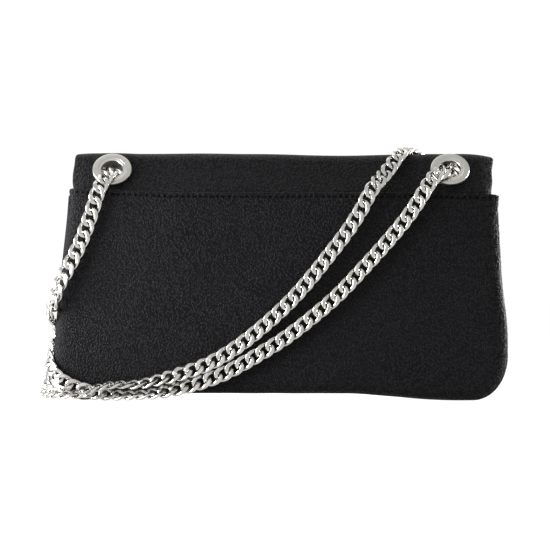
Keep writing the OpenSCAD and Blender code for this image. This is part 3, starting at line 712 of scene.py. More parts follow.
@dataclass
class BodyForm:
    """Outline and profile that all leather pieces share.

    Attributes:
        width: Widest width over the gusset.
        lean: Lean of each side up to the mouth.
        depth: Depth over the panels.
        wall: Height of the walls up to the eave.
        corner_w: Width of a rounded bottom corner.
        corner_h: Height of a rounded bottom corner.
        arch: Rise of the base at the middle.
        tilt: Tilt of the roof's slopes from the vertical.
        ridge_r: Radius of the ridge.
        eave_r: Radius of the bend at the eave.
        roof_half: Half width of the roof.
        left_fall: Start, reach and power of the base's fall to the left foot.
        right_fall: The base's fall to the right foot.
        foot_shift: Shift to the right at the foot.
        mouth_shift: What is added to it up to the mouth.
        ridge_shift: What is added to it near the ridge.
        roof_bow: Start, reach and size of the roof's bow to the left.
        low_bulge: Bulge of the right side, over -z.
        peak_bulge: Middle, width and size of that bulge's peak.
        bulge_side: Where the bulge sets in, over x.
        ridge_rise: How much higher the roof lies near its ridge.
        left_rise: What is added to it at the left, over -x.
        right_sink: Start, reach and size of what is taken from it at the right.
        near_ridge: Where that sets in, over z.
    """

    width: float = 0.280
    lean: float = 0.0078
    depth: float = 0.050
    wall: float = 0.127
    corner_w: float = 0.021
    corner_h: float = 0.027
    arch: float = 0.0043
    tilt: float = math.radians(37.0)
    ridge_r: float = 0.012
    eave_r: float = 0.008
    roof_half: float = 0.1302
    left_fall: tuple[float, float, float] = (0.040, 0.085, 2.2)
    right_fall: Step = Step(0.038, 0.068)
    foot_shift: float = -0.0005
    mouth_shift: Step = Step(0.045, 0.08, 0.0017)
    ridge_shift: Step = Step(0.14, 0.012, 0.0011)
    roof_bow: tuple[float, float, float] = (0.128, 0.0245, 0.0003)
    low_bulge: Step = Step(-0.09, 0.04, 0.0004)
    peak_bulge: tuple[float, float, float] = (0.047, 0.016, 0.0014)
    bulge_side: Step = Step(0.10, 0.03)
    ridge_rise: float = 0.0005
    left_rise: Step = Step(0.02, 0.06, 0.0009)
    right_sink: tuple[float, float, float] = (0.112, 0.018, 0.0013)
    near_ridge: Step = Step(0.138, 0.012)

    @property
    def slope(self) -> float:
        """Length of a roof slope from the eave's corner to the start of the ridge's arc."""
        return (self.depth / 2 - self.ridge_r * math.cos(self.tilt)) / math.sin(self.tilt)

    @property
    def ridge_z(self) -> float:
        """Height of the ridge."""
        return (self.wall + self.slope * math.cos(self.tilt)
                + self.ridge_r * (1 - math.sin(self.tilt)))

    def side_x(self, z: Array) -> Array:
        """Half width at height z above the corners: half the width less the sides' lean."""
        share = np.maximum(0.0, (z - self.corner_h) / (self.wall - self.corner_h))
        return self.width / 2 - self.lean * share

    def edge_x(self, z: Array, inset: float) -> Array:
        """Half width at height z with the round corners, moved in by inset."""
        drop = held((self.corner_h - z) / (self.corner_h - inset))
        low = (self.width / 2 - self.corner_w
               + (self.corner_w - inset) * np.sqrt(1.0 - drop * drop))
        return np.where(z < self.corner_h, low, self.side_x(z) - inset)

    def base_z(self, x: Array, inset: float) -> Array:
        """Height of the base at x: it arches between its feet and falls later on the left."""
        start, reach, power = self.left_fall
        left = 1.0 - held((-x - start) / reach) ** power
        return inset + self.arch * left * (1.0 - self.right_fall.at(x))

    def edge_distance(self, x: Array, z: Array, inset: float) -> Array:
        """Distance of a point inside the outline, moved in by inset.

        Beside a round corner it is measured along the corner's radius: with c the distance
        from the corner's centre and rho its share of the way to the outline, c (1/rho - 1).
        """
        side = self.side_x(np.maximum(z, self.corner_h)) - inset - np.abs(x)
        low = z - self.base_z(x, inset)
        in_x = np.abs(x) - (self.width / 2 - self.corner_w)
        in_z = self.corner_h - z
        rho = np.hypot(in_x / (self.corner_w - inset), in_z / (self.corner_h - inset))
        round_d = np.hypot(in_x, in_z) * (1.0 / np.maximum(rho, 1e-6) - 1.0)
        return np.where((in_x > 0) & (in_z > 0), round_d, np.minimum(side, low))

    def rows_of_wall(self, inset: float, top: float, corner_rows: int, wall_rows: int) -> Array:
        """Heights of a panel's rows at its side edge, from the base up."""
        a = np.pi / 2 * (1 - np.arange(corner_rows) / corner_rows)
        corner = self.corner_h - (self.corner_h - inset) * np.sin(a)
        return np.concatenate([corner, np.linspace(self.corner_h, top, wall_rows)])

    def wall_grid(self, z_edge: Array, half: Array, s: Array, inset: float) -> tuple:
        """Places x and z of a panel's grid.

        x is s times the row's half width. z is the row's height at the side edge, lifted by
        the base's arch, which fades out towards the corners' top.

        Args:
            z_edge: Height of each row at its side edge.
            half: Half width of each row.
            s: Columns from -1 to 1.
            inset: Inset of the outline.

        Returns:
            The arrays x and z, rows by columns.
        """
        x = half[:, None] * s[None, :]
        fade = held(1.0 - (z_edge - inset) / (self.corner_h - inset))
        z = z_edge[:, None] + fade[:, None] * (self.base_z(x, inset) - inset)
        return x, z

    def slope_frame(self, face: Face) -> tuple[Array, Array]:
        """Unit normal and up direction of a roof slope."""
        side = float(face.value)
        return (np.array([0.0, side * math.cos(self.tilt), math.sin(self.tilt)]),
                np.array([0.0, -side * math.sin(self.tilt), math.cos(self.tilt)]))

    def edge_drop(self, d: Array, deep: float, wide: float) -> Array:
        """How far a panel falls back at distance d from its edge.

        A soft fall (1 - d / wide)^2.4, which has the given share of the depth, leads to a
        turned edge, a quarter of an ellipse over the same share of the width.
        """
        share = 0.4
        soft = held(1.0 - d / wide) ** 2.4
        turned_edge = 1.0 - np.sqrt(1.0 - held(1.0 - d / (share * wide)) ** 2)
        return deep * (share * soft + (1.0 - share) * turned_edge)

    def settled(self, points: Array) -> Array:
        """Shifts points sideways as the bag leans: left at the foot, right at the mouth.

        The shift grows once more up to the ridge, with a bow sin(pi t) over the roof. The
        right side bulges low down: a step and a peak exp(-t^2).
        """
        x, z = points[..., 0], points[..., 2]
        shift = self.foot_shift + self.mouth_shift.at(z) + self.ridge_shift.at(z)
        start, reach, bow = self.roof_bow
        shift = shift - bow * np.sin(np.pi * held((z - start) / reach))
        middle, wide, peak = self.peak_bulge
        bulge = self.low_bulge.at(-z) + peak * np.exp(-((z - middle) / wide) ** 2)
        shift = shift + bulge * self.bulge_side.at(x)
        return points + shift[..., None] * np.array([1.0, 0.0, 0.0])

    def ridge_lift(self, x: Array, z: Array) -> Array:
        """How much higher the roof lies near its ridge: more at the left, less at the right."""
        start, reach, sink = self.right_sink
        right = -sink * held((x - start) / reach) ** 1.5
        return (self.ridge_rise + self.left_rise.at(-x) + right) * self.near_ridge.at(z)


@dataclass
class EyeletPlaces:
    """Where the four eyelets sit.

    Attributes:
        form: The bag's form.
        x: Distance from the middle.
        below: Distance of the centre below the upper end of the flat slope.
        hole: Radius of the hole in the leather.
        reach: Distance from the centre, along the hole's axis, in which leather is cut.
    """

    form: BodyForm
    x: float = 0.1044
    below: float = 0.0074
    hole: float = 0.0078
    reach: float = 0.006

    def centre(self, side: int, face: Face) -> Array:
        """Centre of an eyelet on the slope's outer face."""
        _, up = self.form.slope_frame(face)
        eave = np.array([side * self.x, face.value * self.form.depth / 2, self.form.wall])
        return eave + (self.form.slope - self.below) * up

    def pierce(self, surface: Surface, faces: list[Face]) -> Surface:
        """Cuts the eyelets' holes into a skin."""
        for face in faces:
            axis, _ = self.form.slope_frame(face)
            for side in (-1, 1):
                surface = surface.pierced(self.centre(side, face), axis, self.hole, self.reach)
        return surface


@dataclass
class OuterLeather:
    """Back panel, roof and flap: one hide that folds over the ridge.

    Attributes:
        form: The bag's form.
        eyelets: The eyelets' places.
        thickness: Thickness of the hide.
        inset: Inset of the panel's edge in the gusset's outline.
        flap_y: Outer face of the flap on the front.
        flap_half: Half width of the flap on the front.
        flap_low: Height of the flap's lower edge.
        flap_corner: Radius of its lower corners.
        flap_narrow: Distance from the ridge in which the flap narrows.
        flap_edge: Width and depth of the bend along the flap's side edges.
        crown: Radius of the roof's rounded upper corners.
        roll: How far the roof's side edges roll back.
        roll_reach: Width of that roll, which grows up the slope.
        roll_fade: Share of the roll that is lost near the ridge.
        stud_z: Height at which the snap's stud is riveted to the flap.
        wall_drop: Depth and width of the back wall's rounded edge.
        eave_narrow: How much narrower the roof is at its eave, and where it widens.
        join: Where the wall's half width turns into the roof's.
        calm: Distance from an eyelet or the stud in which the hide lies flat.
        wave_heights: Height of the broad and of the fine waves, and how far both lie sunk.
        strengths: Strength of the unevenness on the back wall, the roof and the flap.
        columns: Points of a row.
    """

    form: BodyForm
    eyelets: EyeletPlaces
    thickness: float = 0.002
    inset: float = 0.0035
    flap_y: float = 0.0321
    flap_half: float = 0.1205
    flap_low: float = 0.035
    flap_corner: float = 0.024
    flap_narrow: float = 0.012
    flap_edge: tuple[float, float] = (0.010, 0.0013)
    crown: float = 0.0016
    roll: float = 0.0019
    roll_reach: tuple[float, Step] = (0.003, Step(0.127, 0.010, 0.0045))
    roll_fade: Step = Step(0.146, 0.005, 0.75)
    stud_z: float = 0.062
    wall_drop: tuple[float, float] = (0.0038, 0.013)
    eave_narrow: tuple[float, Step] = (0.0012, Step(0.128, 0.010))
    join: Step = Step(0.116, 0.010)
    calm: Step = Step(0.013, 0.012)
    wave_heights: tuple[float, float, float] = (0.0006, 0.00014, 0.00035)
    strengths: tuple[float, float, float] = (0.15, 1.0, 1.9)
    columns: int = 188

    def path(self) -> tuple[Array, Array, Array]:
        """The skin's profile from the base at the back to the flap's lower edge.

        Wall, bend, slope and ridge are straight lines and arcs that touch each other. The
        flap's own eave lies further out and lower on the same slope.

        Returns:
            The y and z of each row, and the number of the part it belongs to: 0 for the back
            wall, 1 for the roof and 2 for the flap's wall.
        """
        f = self.form
        reach = f.eave_r * math.tan(f.tilt / 2)
        back_eave = (-(f.depth / 2 - f.eave_r), f.wall - reach)
        flap_z = f.wall - (self.flap_y - f.depth / 2) * math.cos(f.tilt) / math.sin(f.tilt)
        flap_eave = (self.flap_y - f.eave_r, flap_z - reach)
        wall = f.rows_of_wall(self.inset, back_eave[1] - 0.0015, 16, 54)
        eave = arc(back_eave, f.eave_r, np.linspace(math.pi, math.pi - f.tilt, 6))
        ridge = arc((0.0, f.ridge_z - f.ridge_r), f.ridge_r,
                    np.linspace(math.pi - f.tilt, f.tilt, 17))
        flap_bend = arc(flap_eave, f.eave_r, np.linspace(f.tilt, 0.0, 6))
        t = np.linspace(0, 1, 17)[1:-1, None]
        up = eave[-1] * (1 - t) + ridge[0] * t
        t = np.linspace(0, 1, 22)[1:-1, None]
        down = ridge[-1] * (1 - t) + flap_bend[0] * t
        e = np.pi / 2 * np.arange(1, 15) / 14
        low = self.flap_low + self.flap_corner * (1 - np.sin(e))
        straight = np.linspace(flap_eave[1], self.flap_low + self.flap_corner, 38)[1:]
        flap_wall = np.concatenate([straight, low])
        parts = [np.stack([np.full(len(wall), -f.depth / 2), wall], -1),
                 np.concatenate([eave, up, ridge, down, flap_bend]),
                 np.stack([np.full(len(flap_wall), self.flap_y), flap_wall], -1)]
        marks = np.concatenate([np.full(len(p), k) for k, p in enumerate(parts)])
        line = np.concatenate(parts)
        return line[:, 0], line[:, 1], marks

    def half_widths(self, y: Array, z: Array, mark: Array) -> Array:
        """Half width of each row: the body's outline, the roof's edge, then the flap's."""
        f = self.form
        wall = f.edge_x(z, self.inset)
        near_top = held(1.0 - (f.ridge_z - z) / self.crown)
        narrow, widening = self.eave_narrow
        roof = (f.roof_half - self.thickness / 2 - narrow * (1.0 - widening.at(z))
                - self.crown * (1.0 - np.sqrt(1.0 - near_top ** 2)))
        low = wall + (roof - wall) * self.join.at(z)
        flap = roof + (self.flap_half - roof) * smooth(y / self.flap_narrow)
        fall = held((self.flap_low + self.flap_corner - z) / self.flap_corner)
        rounded = self.flap_half - self.flap_corner + self.flap_corner * np.sqrt(1.0 - fall * fall)
        return np.where(mark == 0, low, np.where(mark == 1, flap, rounded))

    def skin(self) -> Surface:
        """The outer face.

        Each row of the profile is drawn out to its half width. Near its edges the back wall
        falls back to the gusset, the flap bends in and the roof rolls back. A soft unevenness
        is added along the normals; it fades out round the eyelets.
        """
        f = self.form
        y, z, mark = self.path()
        half = self.half_widths(y, z, mark)
        x, height = f.wall_grid(z, half, closer_at_ends(self.columns, 0.2), self.inset)
        wall = (mark == 0)[:, None]
        height = np.where(wall, height, z[:, None])
        depth = np.broadcast_to(y[:, None], x.shape).copy()
        d = f.edge_distance(x, height, self.inset)
        depth += np.where(wall, f.edge_drop(d, *self.wall_drop), 0.0)
        side = half[:, None] - np.abs(x)
        roof = (mark == 1)[:, None]
        depth -= self.flap_bend(x, mark[:, None])
        height = height + f.ridge_lift(x, height) * roof
        points = f.settled(np.stack([x, depth, height], -1))
        least, widening = self.roll_reach
        rolled = self.roll * held(1.0 - side / (least + widening.at(height))) ** 1.3 * roof
        rolled = rolled * (1.0 - self.roll_fade.at(height))
        return Surface.grid(points).pushed(self.waves(points, self.run_of(y, z), mark) - rolled)

    @staticmethod
    def run_of(y: Array, z: Array) -> Array:
        """Length along the profile up to each row."""
        return np.concatenate([[0.0], np.cumsum(np.hypot(np.diff(y), np.diff(z)))])

    def waves(self, points: Array, run: Array, mark: Array) -> Array:
        """Soft unevenness over the hide, as a height along its normals.

        It is stronger on the hanging flap, weak behind the pocket, and fades out round the
        eyelets and where the snap's stud is riveted to the flap.

        Args:
            points: Places, rows by columns by 3.
            run: Length along the profile up to each row.
            mark: Part of the profile that each row belongs to.
        """
        x, run = points[..., 0], run[:, None]
        broad, fine, sunk = self.wave_heights
        uneven = ripple(x, run, 0.085, 11) * broad + ripple(x, run, 0.03, 12) * fine - sunk
        quiet = [self.eyelets.centre(end, face) for end in (-1, 1) for face in Face]
        quiet.append(np.array([0.0, self.flap_y, self.stud_z]))
        near = np.min([np.linalg.norm(points - c, axis=-1) for c in quiet], axis=0)
        return uneven * self.calm.at(near) * np.take(self.strengths, mark)[:, None]

    def flap_bend(self, x: Array, mark: Array) -> Array:
        """How far the flap's wall bends in at x, near its side edges."""
        reach, deep = self.flap_edge
        near = held(1.0 - (self.flap_half - np.abs(x)) / reach)
        return np.where(mark == 2, deep * near ** 2, 0.0)

    def build(self, finishes: Finishes) -> bpy.types.Object:
        """Makes the hide and lets it stand for its two nodes."""
        surface = self.eyelets.pierce(self.skin(), list(Face)).thickened(self.thickness)
        piece = add_piece("outer_leather", surface, finishes.leather)
        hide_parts("back_panel", "flap")
        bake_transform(piece)
        return piece


@dataclass
class InnerLeather:
    """Thin lining of the roof and the flap, glued under the hide, in one piece.

    Attributes:
        outer: The hide above it.
        under: Distance of its outer face under the hide's.
        thickness: Its thickness.
        margin: How far its edges stay inside the hide's.
        start_z: Height at the back where it begins.
        columns: Points of a row.
    """

    outer: OuterLeather
    under: float = 0.0027
    thickness: float = 0.0008
    margin: float = 0.0036
    start_z: float = 0.1195
    columns: int = 120

    def build(self, finishes: Finishes) -> bpy.types.Object:
        """Offsets the hide's profile inwards by its depth and draws it out a little narrower."""
        o, f = self.outer, self.outer.form
        y, z, mark = o.path()
        half = o.half_widths(y, z, mark)
        keep = ((mark > 0) | (z > self.start_z)) & ~((mark == 2) & (z < o.flap_low + self.margin))
        run = o.run_of(y, z)[keep]
        y, z, mark, half = y[keep], z[keep], mark[keep], half[keep]
        line = np.stack([y, z], -1)
        step = unit(np.gradient(line, axis=0))
        inward = np.stack([step[:, 1], -step[:, 0]], -1)
        line = line + inward * self.under
        x = (half - self.margin)[:, None] * np.linspace(-1, 1, self.columns)
        depth = line[:, :1] - o.flap_bend(x, mark[:, None])
        height = line[:, 1:] + f.ridge_lift(x, line[:, 1:]) * (mark == 1)[:, None]
        points = f.settled(np.stack([x, depth, height], -1))
        surface = Surface.grid(points).pushed(o.waves(points, run, mark))
        surface = o.eyelets.pierce(surface, list(Face)).thickened(self.thickness, 1)
        piece = add_piece("flap_and_roof_lining", surface, finishes.lining)
        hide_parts("flap_lining", "yoke_lining")
        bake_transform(piece)
        return piece


@dataclass
class WallPanel:
    """An upright panel between the gusset's edges.

    Attributes:
        form: The bag's form.
        name: The piece's name.
        node: The CAD node it stands for.
        face: The side it faces.
        y: Distance of its outer face from the middle.
        inset: Inset of its edge in the gusset's outline.
        top: Height of its top edge.
        thickness: Its thickness.
        drop: How far its edge falls back to the gusset.
        drop_w: Width of that rounded edge.
        groove: Distance of a sewn groove below the top edge, or 0 for none.
        pitch: Distance from one stitch in the groove to the next.
        rise_left: How much higher the top edge lies at its left end.
        fall_right: How much lower the top edge lies at its right end.
        flare: How far its upper right corner stands out to the side.
        uneven: Height of its soft unevenness.
        seed: Seed of the unevenness.
        columns: Points of a row.
        hem: Where the leather sinks below the hem, over the distance from the top.
        dip: Depth of the groove between stitches, what it gains under them, and its width.
        dip_end: Where the groove runs out, over -|x|.
        end_rise: Start, reach and power of the top's rise or fall, over |x|.
        high: Where that rise or fall sets in, over z.
        lean: Share of the rise by which the top leans inwards.
        flare_high: Where the upper right corner stands out, over z.
        flare_side: The same, over x.
        hem_rows: Height and number of the fine rows at the top.
        hem_side: How far from the top the hem reaches out to the side.
    """

    form: BodyForm
    name: str
    node: str
    face: Face
    y: float
    inset: float
    top: float
    thickness: float
    drop: float
    drop_w: float
    groove: float = 0.0
    pitch: float = 0.0036
    rise_left: float = 0.0
    fall_right: float = 0.0
    flare: float = 0.0
    uneven: float = 0.0005
    seed: int = 1
    columns: int = 176
    hem: Step = Step(0.0058, 0.0012, 0.0003)
    dip: tuple[float, float, float] = (0.0003, 0.0012, 0.0007)
    dip_end: Step = Step(-0.1303, 0.0024)
    end_rise: tuple[float, float, float] = (0.066, 0.064, 1.2)
    high: Step = Step(0.09, 0.036)
    lean: float = 0.35
    flare_high: Step = Step(0.113, 0.012)
    flare_side: Step = Step(0.105, 0.025)
    hem_rows: tuple[float, int] = (0.0066, 27)
    hem_side: Step = Step(-0.0026, 0.001)

    def depth_at(self, x: Array, z: Array) -> Array:
        """Distance of the outer face from the middle plane.

        It is the flat face less the rounded edge and a soft unevenness that only sinks. A hem
        stands proud along the top. Its sewn groove is a narrow dip exp(-(h / width)^2), deep
        under the stitches, which lie at whole pitches from the middle, and shallow between.
        """
        d = self.form.edge_distance(x, z, self.inset)
        soft = (ripple(x, z, 0.09, self.seed) * 0.5 + 0.5) * self.uneven
        soft = soft + (ripple(x, z, 0.028, self.seed + 1) * 0.5 + 0.5) * self.uneven * 0.25
        out = self.y - self.form.edge_drop(d, self.drop, self.drop_w) - soft
        if self.groove:
            below = self.top - z
            under = 0.5 + 0.5 * np.cos(2 * np.pi * x / self.pitch)
            shallow, gain, wide = self.dip
            dip = (shallow + gain * under) * self.dip_end.at(-np.abs(x))
            out = out - self.hem.at(below) - dip * np.exp(-((below - self.groove) / wide) ** 2)
        return out

    def raised(self, x: Array, z: Array) -> tuple[Array, Array]:
        """How much the top lies higher at x and, as it leans on the roof, further in."""
        start, reach, power = self.end_rise
        share = held((np.abs(x) - start) / reach) ** power
        lift = share * np.where(x < 0, self.rise_left, -self.fall_right) * self.high.at(z)
        return lift, self.lean * np.maximum(lift, 0.0)

    def place(self, x: Array, z: Array) -> Array:
        """Places of the outer face at x and z, before the bag's lean."""
        lift, lean = self.raised(x, z)
        out = self.flare * self.flare_high.at(z) * self.flare_side.at(x)
        return np.stack([x + out, self.face.value * (self.depth_at(x, z) - lean), z + lift], -1)

    def skin(self) -> Surface:
        """The outer face as a grid, finer in rows near the top where a groove runs.

        The hem above the groove reaches out to the side of the bag, over the gusset's end.
        """
        f, edge = self.form, self.thickness / 2
        inset, top = self.inset + edge, self.top - edge
        if self.groove:
            reach, count = self.hem_rows
            coarse = f.rows_of_wall(inset, top - reach - 0.0006, 18, 56)
            z_edge = np.concatenate([coarse, np.linspace(top - reach, top, count)])
        else:
            z_edge = f.rows_of_wall(inset, top, 18, 60)
        half = f.edge_x(z_edge, inset)
        if self.groove:
            half = half + (self.inset - 0.0002) * self.hem_side.at(z_edge - top)
        x, z = f.wall_grid(z_edge, half, closer_at_ends(self.columns, 0.18), inset)
        points = f.settled(self.place(x, z))
        if self.face is Face.FRONT:
            points = points[:, ::-1]
        return Surface.grid(points)

    def build(self, finishes: Finishes) -> bpy.types.Object:
        """Makes the panel and lets it stand for its node."""
        piece = add_piece(self.name, self.skin().thickened(self.thickness), finishes.leather)
        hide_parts(self.node)
        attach(piece, "bag")
        return piece


@dataclass
class StitchRow:
    """The row of stitches that lies in a panel's groove.

    Attributes:
        panel: The panel that is sewn.
        name: The piece's name.
        end: Distance of the last stitch from the middle.
        length: Length of one stitch.
        radius: Radius of the thread.
        sunk: How far a stitch's ends lie in the leather.
        arch: How much higher its middle lies.
        sections: Sections along a stitch.
        sides: Points of a section.
    """

    panel: WallPanel
    name: str
    end: float = 0.1265
    length: float = 0.0026
    radius: float = 0.0007
    sunk: float = 0.0007
    arch: float = 0.0003
    sections: int = 7
    sides: int = 6

    def build(self, finishes: Finishes) -> bpy.types.Object:
        """Lays the stitches along the groove.

        A stitch is a tube whose radius falls to nothing at both ends as sqrt(sin), and whose
        ends dip into the leather.
        """
        p = self.panel
        last = int(self.end / p.pitch)
        t = np.linspace(0, 1, self.sections)
        x = p.pitch * np.arange(-last, last + 1)[:, None] + self.length * (t - 0.5)
        centre = p.form.settled(p.place(x, np.full_like(x, p.top - p.groove)))
        out = np.array([0.0, float(p.face.value), 0.0])
        full = np.sqrt(np.sin(np.pi * t))
        centre = centre + (self.arch * full - self.sunk)[None, :, None] * out
        a = circle(self.sides)
        ring = np.cos(a)[:, None] * out + np.sin(a)[:, None] * np.array([0.0, 0.0, 1.0])
        radius = (self.radius * np.maximum(full, 0.02))[None, :, None, None]
        stitches = [Surface.grid(points, wrap_columns=True)
                    for points in centre[:, :, None] + radius * ring]
        piece = add_piece(self.name, Surface.joined(stitches), finishes.thread)
        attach(piece, "bag")
        return piece


@dataclass
class GussetStrip:
    """The strip round the sides and the base, or its lining.

    Attributes:
        form: The bag's form.
        name: The piece's name.
        node: The CAD node it stands for.
        inset: Inset in the body's outline.
        thickness: Its thickness.
        half_y: Half its width.
        top: Height of its ends.
        tuck: How far its long edges turn in towards the panels.
        rise_back: How much higher its ends reach beside the back panel.
        mouth: Half width of the drawn-in fold at its mouth.
        floor: Half width of the fold's floor.
        grow: How much further in its fold lies than the leather's.
        slot: The record's slot; not used.
        low_depth: Depth of the fold at its lower end.
        top_depth: Depth of the fold at the mouth.
        mouth_top: Height of the mouth.
        skew: How much more its left end reaches up than its right end, halved.
        behind: Where the ends' rise sets in, over -y.
        seam: How much wider than the fold's mouth the turned-in edge is.
        uneven: Height of its soft unevenness.
        rows: Rows of one side, of one corner and of half the base.
        columns: Points across its width.
    """

    form: BodyForm
    name: str
    node: str
    inset: float
    thickness: float
    half_y: float
    top: float
    tuck: float
    rise_back: float = 0.0
    mouth: float = 0.0209
    floor: float = 0.0145
    grow: float = 0.0
    slot: Slot = Slot.LEATHER
    low_depth: float = 0.004
    top_depth: float = 0.0085
    mouth_top: float = 0.116
    skew: float = 0.0009
    behind: Step = Step(0.008, 0.014)
    seam: float = 0.0006
    uneven: float = 0.0003
    rows: tuple[int, int, int] = (51, 18, 59)
    columns: int = 65

    def fold_x(self, z: Array) -> Array:
        """Distance of the fold's floor from the middle: a straight line over the height."""
        low_z = self.form.corner_h / 2
        low = self.form.side_x(np.array(low_z)) - self.low_depth
        high = self.form.side_x(np.array(self.mouth_top)) - self.top_depth
        return low + (high - low) * (z - low_z) / (self.mouth_top - low_z)

    def outline(self) -> tuple[Array, Array]:
        """Outline from the left end down, along the base and up the right side.

        Returns:
            Its places (x, z) and its outward normals.
        """
        f, i = self.form, self.inset
        side_rows, corner_rows, base_rows = self.rows
        z = np.linspace(self.top, f.corner_h, side_rows + 1)[:-1]
        side = np.stack([-(f.side_x(z) - i), z], -1)
        a = np.pi / 2 * np.arange(corner_rows + 1) / corner_rows
        corner = np.stack([-(f.width / 2 - f.corner_w) - (f.corner_w - i) * np.cos(a),
                           f.corner_h - (f.corner_h - i) * np.sin(a)], -1)
        x = np.linspace(-(f.width / 2 - f.corner_w), 0.0, base_rows + 1)[1:]
        left = np.concatenate([side, corner, np.stack([x, np.full_like(x, i)], -1)])
        line = np.concatenate([left, (left * [-1, 1])[-2::-1]])
        fade = held((f.corner_h - line[:, 1]) / (f.corner_h - i))
        line[:, 1] += fade * (f.base_z(line[:, 0], i) - i)
        step = unit(np.gradient(line, axis=0))
        return line, np.stack([step[:, 1], -step[:, 0]], -1)

    def skin(self) -> Surface:
        """The outer face.

        Each place of the outline is carried across the width and pushed in by the fold's
        depth, which is the distance between the outline and the fold's floor. The long edges
        turn in along a quarter of an ellipse, so the strip stands proud between its seams.
        """
        f = self.form
        line, normal = self.outline()
        y = (self.half_y - self.thickness / 2) * closer_at_ends(self.columns, 0.4)
        away = np.abs(y)[None, :]
        high = held((line[:, 1:] - f.corner_h) / (self.top - f.corner_h))
        rise = self.rise_back - self.skew * np.sign(line[:, :1]) * (self.rise_back > 0)
        z = line[:, 1:] + rise * high ** 4 * self.behind.at(-y[None, :])
        x = line[:, :1] + np.sign(line[:, :1]) * (f.side_x(z) - f.side_x(line[:, 1:]))
        depth = np.maximum(0.0, np.abs(x) - (self.fold_x(z) - self.grow)) * normal[:, :1] ** 2
        depth = depth * smooth((self.mouth - away) / (self.mouth - self.floor))
        inner = self.mouth - self.seam
        bend = held((away - inner) / (self.half_y - inner))
        run = np.concatenate([[0.0], np.cumsum(np.linalg.norm(np.diff(line, axis=0), axis=1))])
        soft = self.uneven * (ripple(run[:, None], y[None, :], 0.04, 31) * 0.5 + 0.5)
        push = depth + self.tuck * (1.0 - np.sqrt(1.0 - bend ** 2)) + soft
        points = np.stack([x - push * normal[:, :1], np.broadcast_to(y, push.shape),
                           z - push * normal[:, 1:]], -1)
        return Surface.grid(f.settled(points))

    def build(self, material: bpy.types.Material) -> bpy.types.Object:
        """Makes the strip and lets it stand for its node."""
        piece = add_piece(self.name, self.skin().thickened(self.thickness, 3), material)
        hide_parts(self.node)
        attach(piece, "bag")
        return piece


@dataclass
class LiningPiece:
    """A flat piece inside the bag: lining, facing, pocket or tape.

    Attributes:
        name: The piece's name.
        node: The CAD node it stands for; its box gives the place.
        outward: The side its outer face looks to.
        sag: Height of its soft unevenness.
        slot: The record's slot.
        window: A window cut out of it, as low x, low z, high x, high z, or None.
        base_top: Below this height a piece's foot follows the base.
        base_reach: Height over which it does so.
        calm: Distance from its edges in which it lies flat.
        rows: Rows over its height.
        columns: Points of a row.
    """

    name: str
    node: str
    outward: Face
    sag: float
    slot: Slot
    window: Optional[tuple[float, float, float, float]] = None
    base_top: float = 0.012
    base_reach: float = 0.03
    calm: float = 0.01
    rows: int = 70
    columns: int = 121

    def skin(self, form: BodyForm) -> tuple[Surface, float]:
        """The piece's outer face and its thickness.

        The rows follow the node's outline: full height of its box, with each row no wider
        than the body's outline there, less the box's own distance from it.
        """
        low, high = (np.array(v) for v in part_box(self.node))
        thickness = high[1] - low[1]
        edge = thickness / 2
        half = (high[0] - low[0]) / 2 - edge
        inset = max(form.edge_x(np.array(form.corner_h), 0.0) - high[0], 0.0)
        z = np.linspace(low[2] + edge, high[2] - edge, self.rows)
        widths = np.full_like(z, half)
        if low[2] < self.base_top:
            widths = np.minimum(half, form.edge_x(z, min(inset, 0.02)) - edge)
        x = widths[:, None] * np.linspace(-1, 1, self.columns)
        height = np.broadcast_to(z[:, None], x.shape)
        if low[2] < self.base_top:
            fade = held(1 - (height - low[2]) / self.base_reach)
            height = height + fade * form.base_z(x, 0.0)
        if self.window:
            x, height = self._open_window(x, height)
        seed = sum(ord(c) for c in self.node)
        middle = (low[1] + high[1]) / 2
        quiet = smooth((half - np.abs(x)) / self.calm) * smooth((height - low[2]) / self.calm)
        y = middle + self.outward.value * edge + self.sag * ripple(x, height, 0.05, seed) * quiet
        points = form.settled(np.stack([x, y, height], -1))
        if self.outward is Face.FRONT:
            points = points[:, ::-1]
        surface = Surface.grid(points)
        if self.window:
            surface = self._cut(surface)
        return surface, thickness

    def _open_window(self, x: Array, z: Array) -> tuple[Array, Array]:
        """Moves the nearest grid lines onto the window's edges."""
        x0, z0, x1, z1 = self.window
        columns, rows = x[0], z[:, 0]
        x, z = x.copy(), z.copy()
        for value in (x0, x1):
            x[:, np.argmin(np.abs(columns - value))] = value
        for value in (z0, z1):
            z[np.argmin(np.abs(rows - value))] = value
        return x, z

    def _cut(self, surface: Surface) -> Surface:
        """Drops the quads inside the window."""
        x0, z0, x1, z1 = self.window
        middle = surface.points[surface.quads].mean(axis=1)
        inside = ((middle[:, 0] > x0) & (middle[:, 0] < x1)
                  & (middle[:, 2] > z0) & (middle[:, 2] < z1))
        return Surface(surface.points, surface.quads[~inside]).compact()

    def build(self, form: BodyForm, material: bpy.types.Material) -> bpy.types.Object:
        """Makes the piece and lets it stand for its node."""
        surface, thickness = self.skin(form)
        piece = add_piece(self.name, surface.thickened(thickness, 1), material)
        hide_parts(self.node)
        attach(piece, "bag")
        return piece


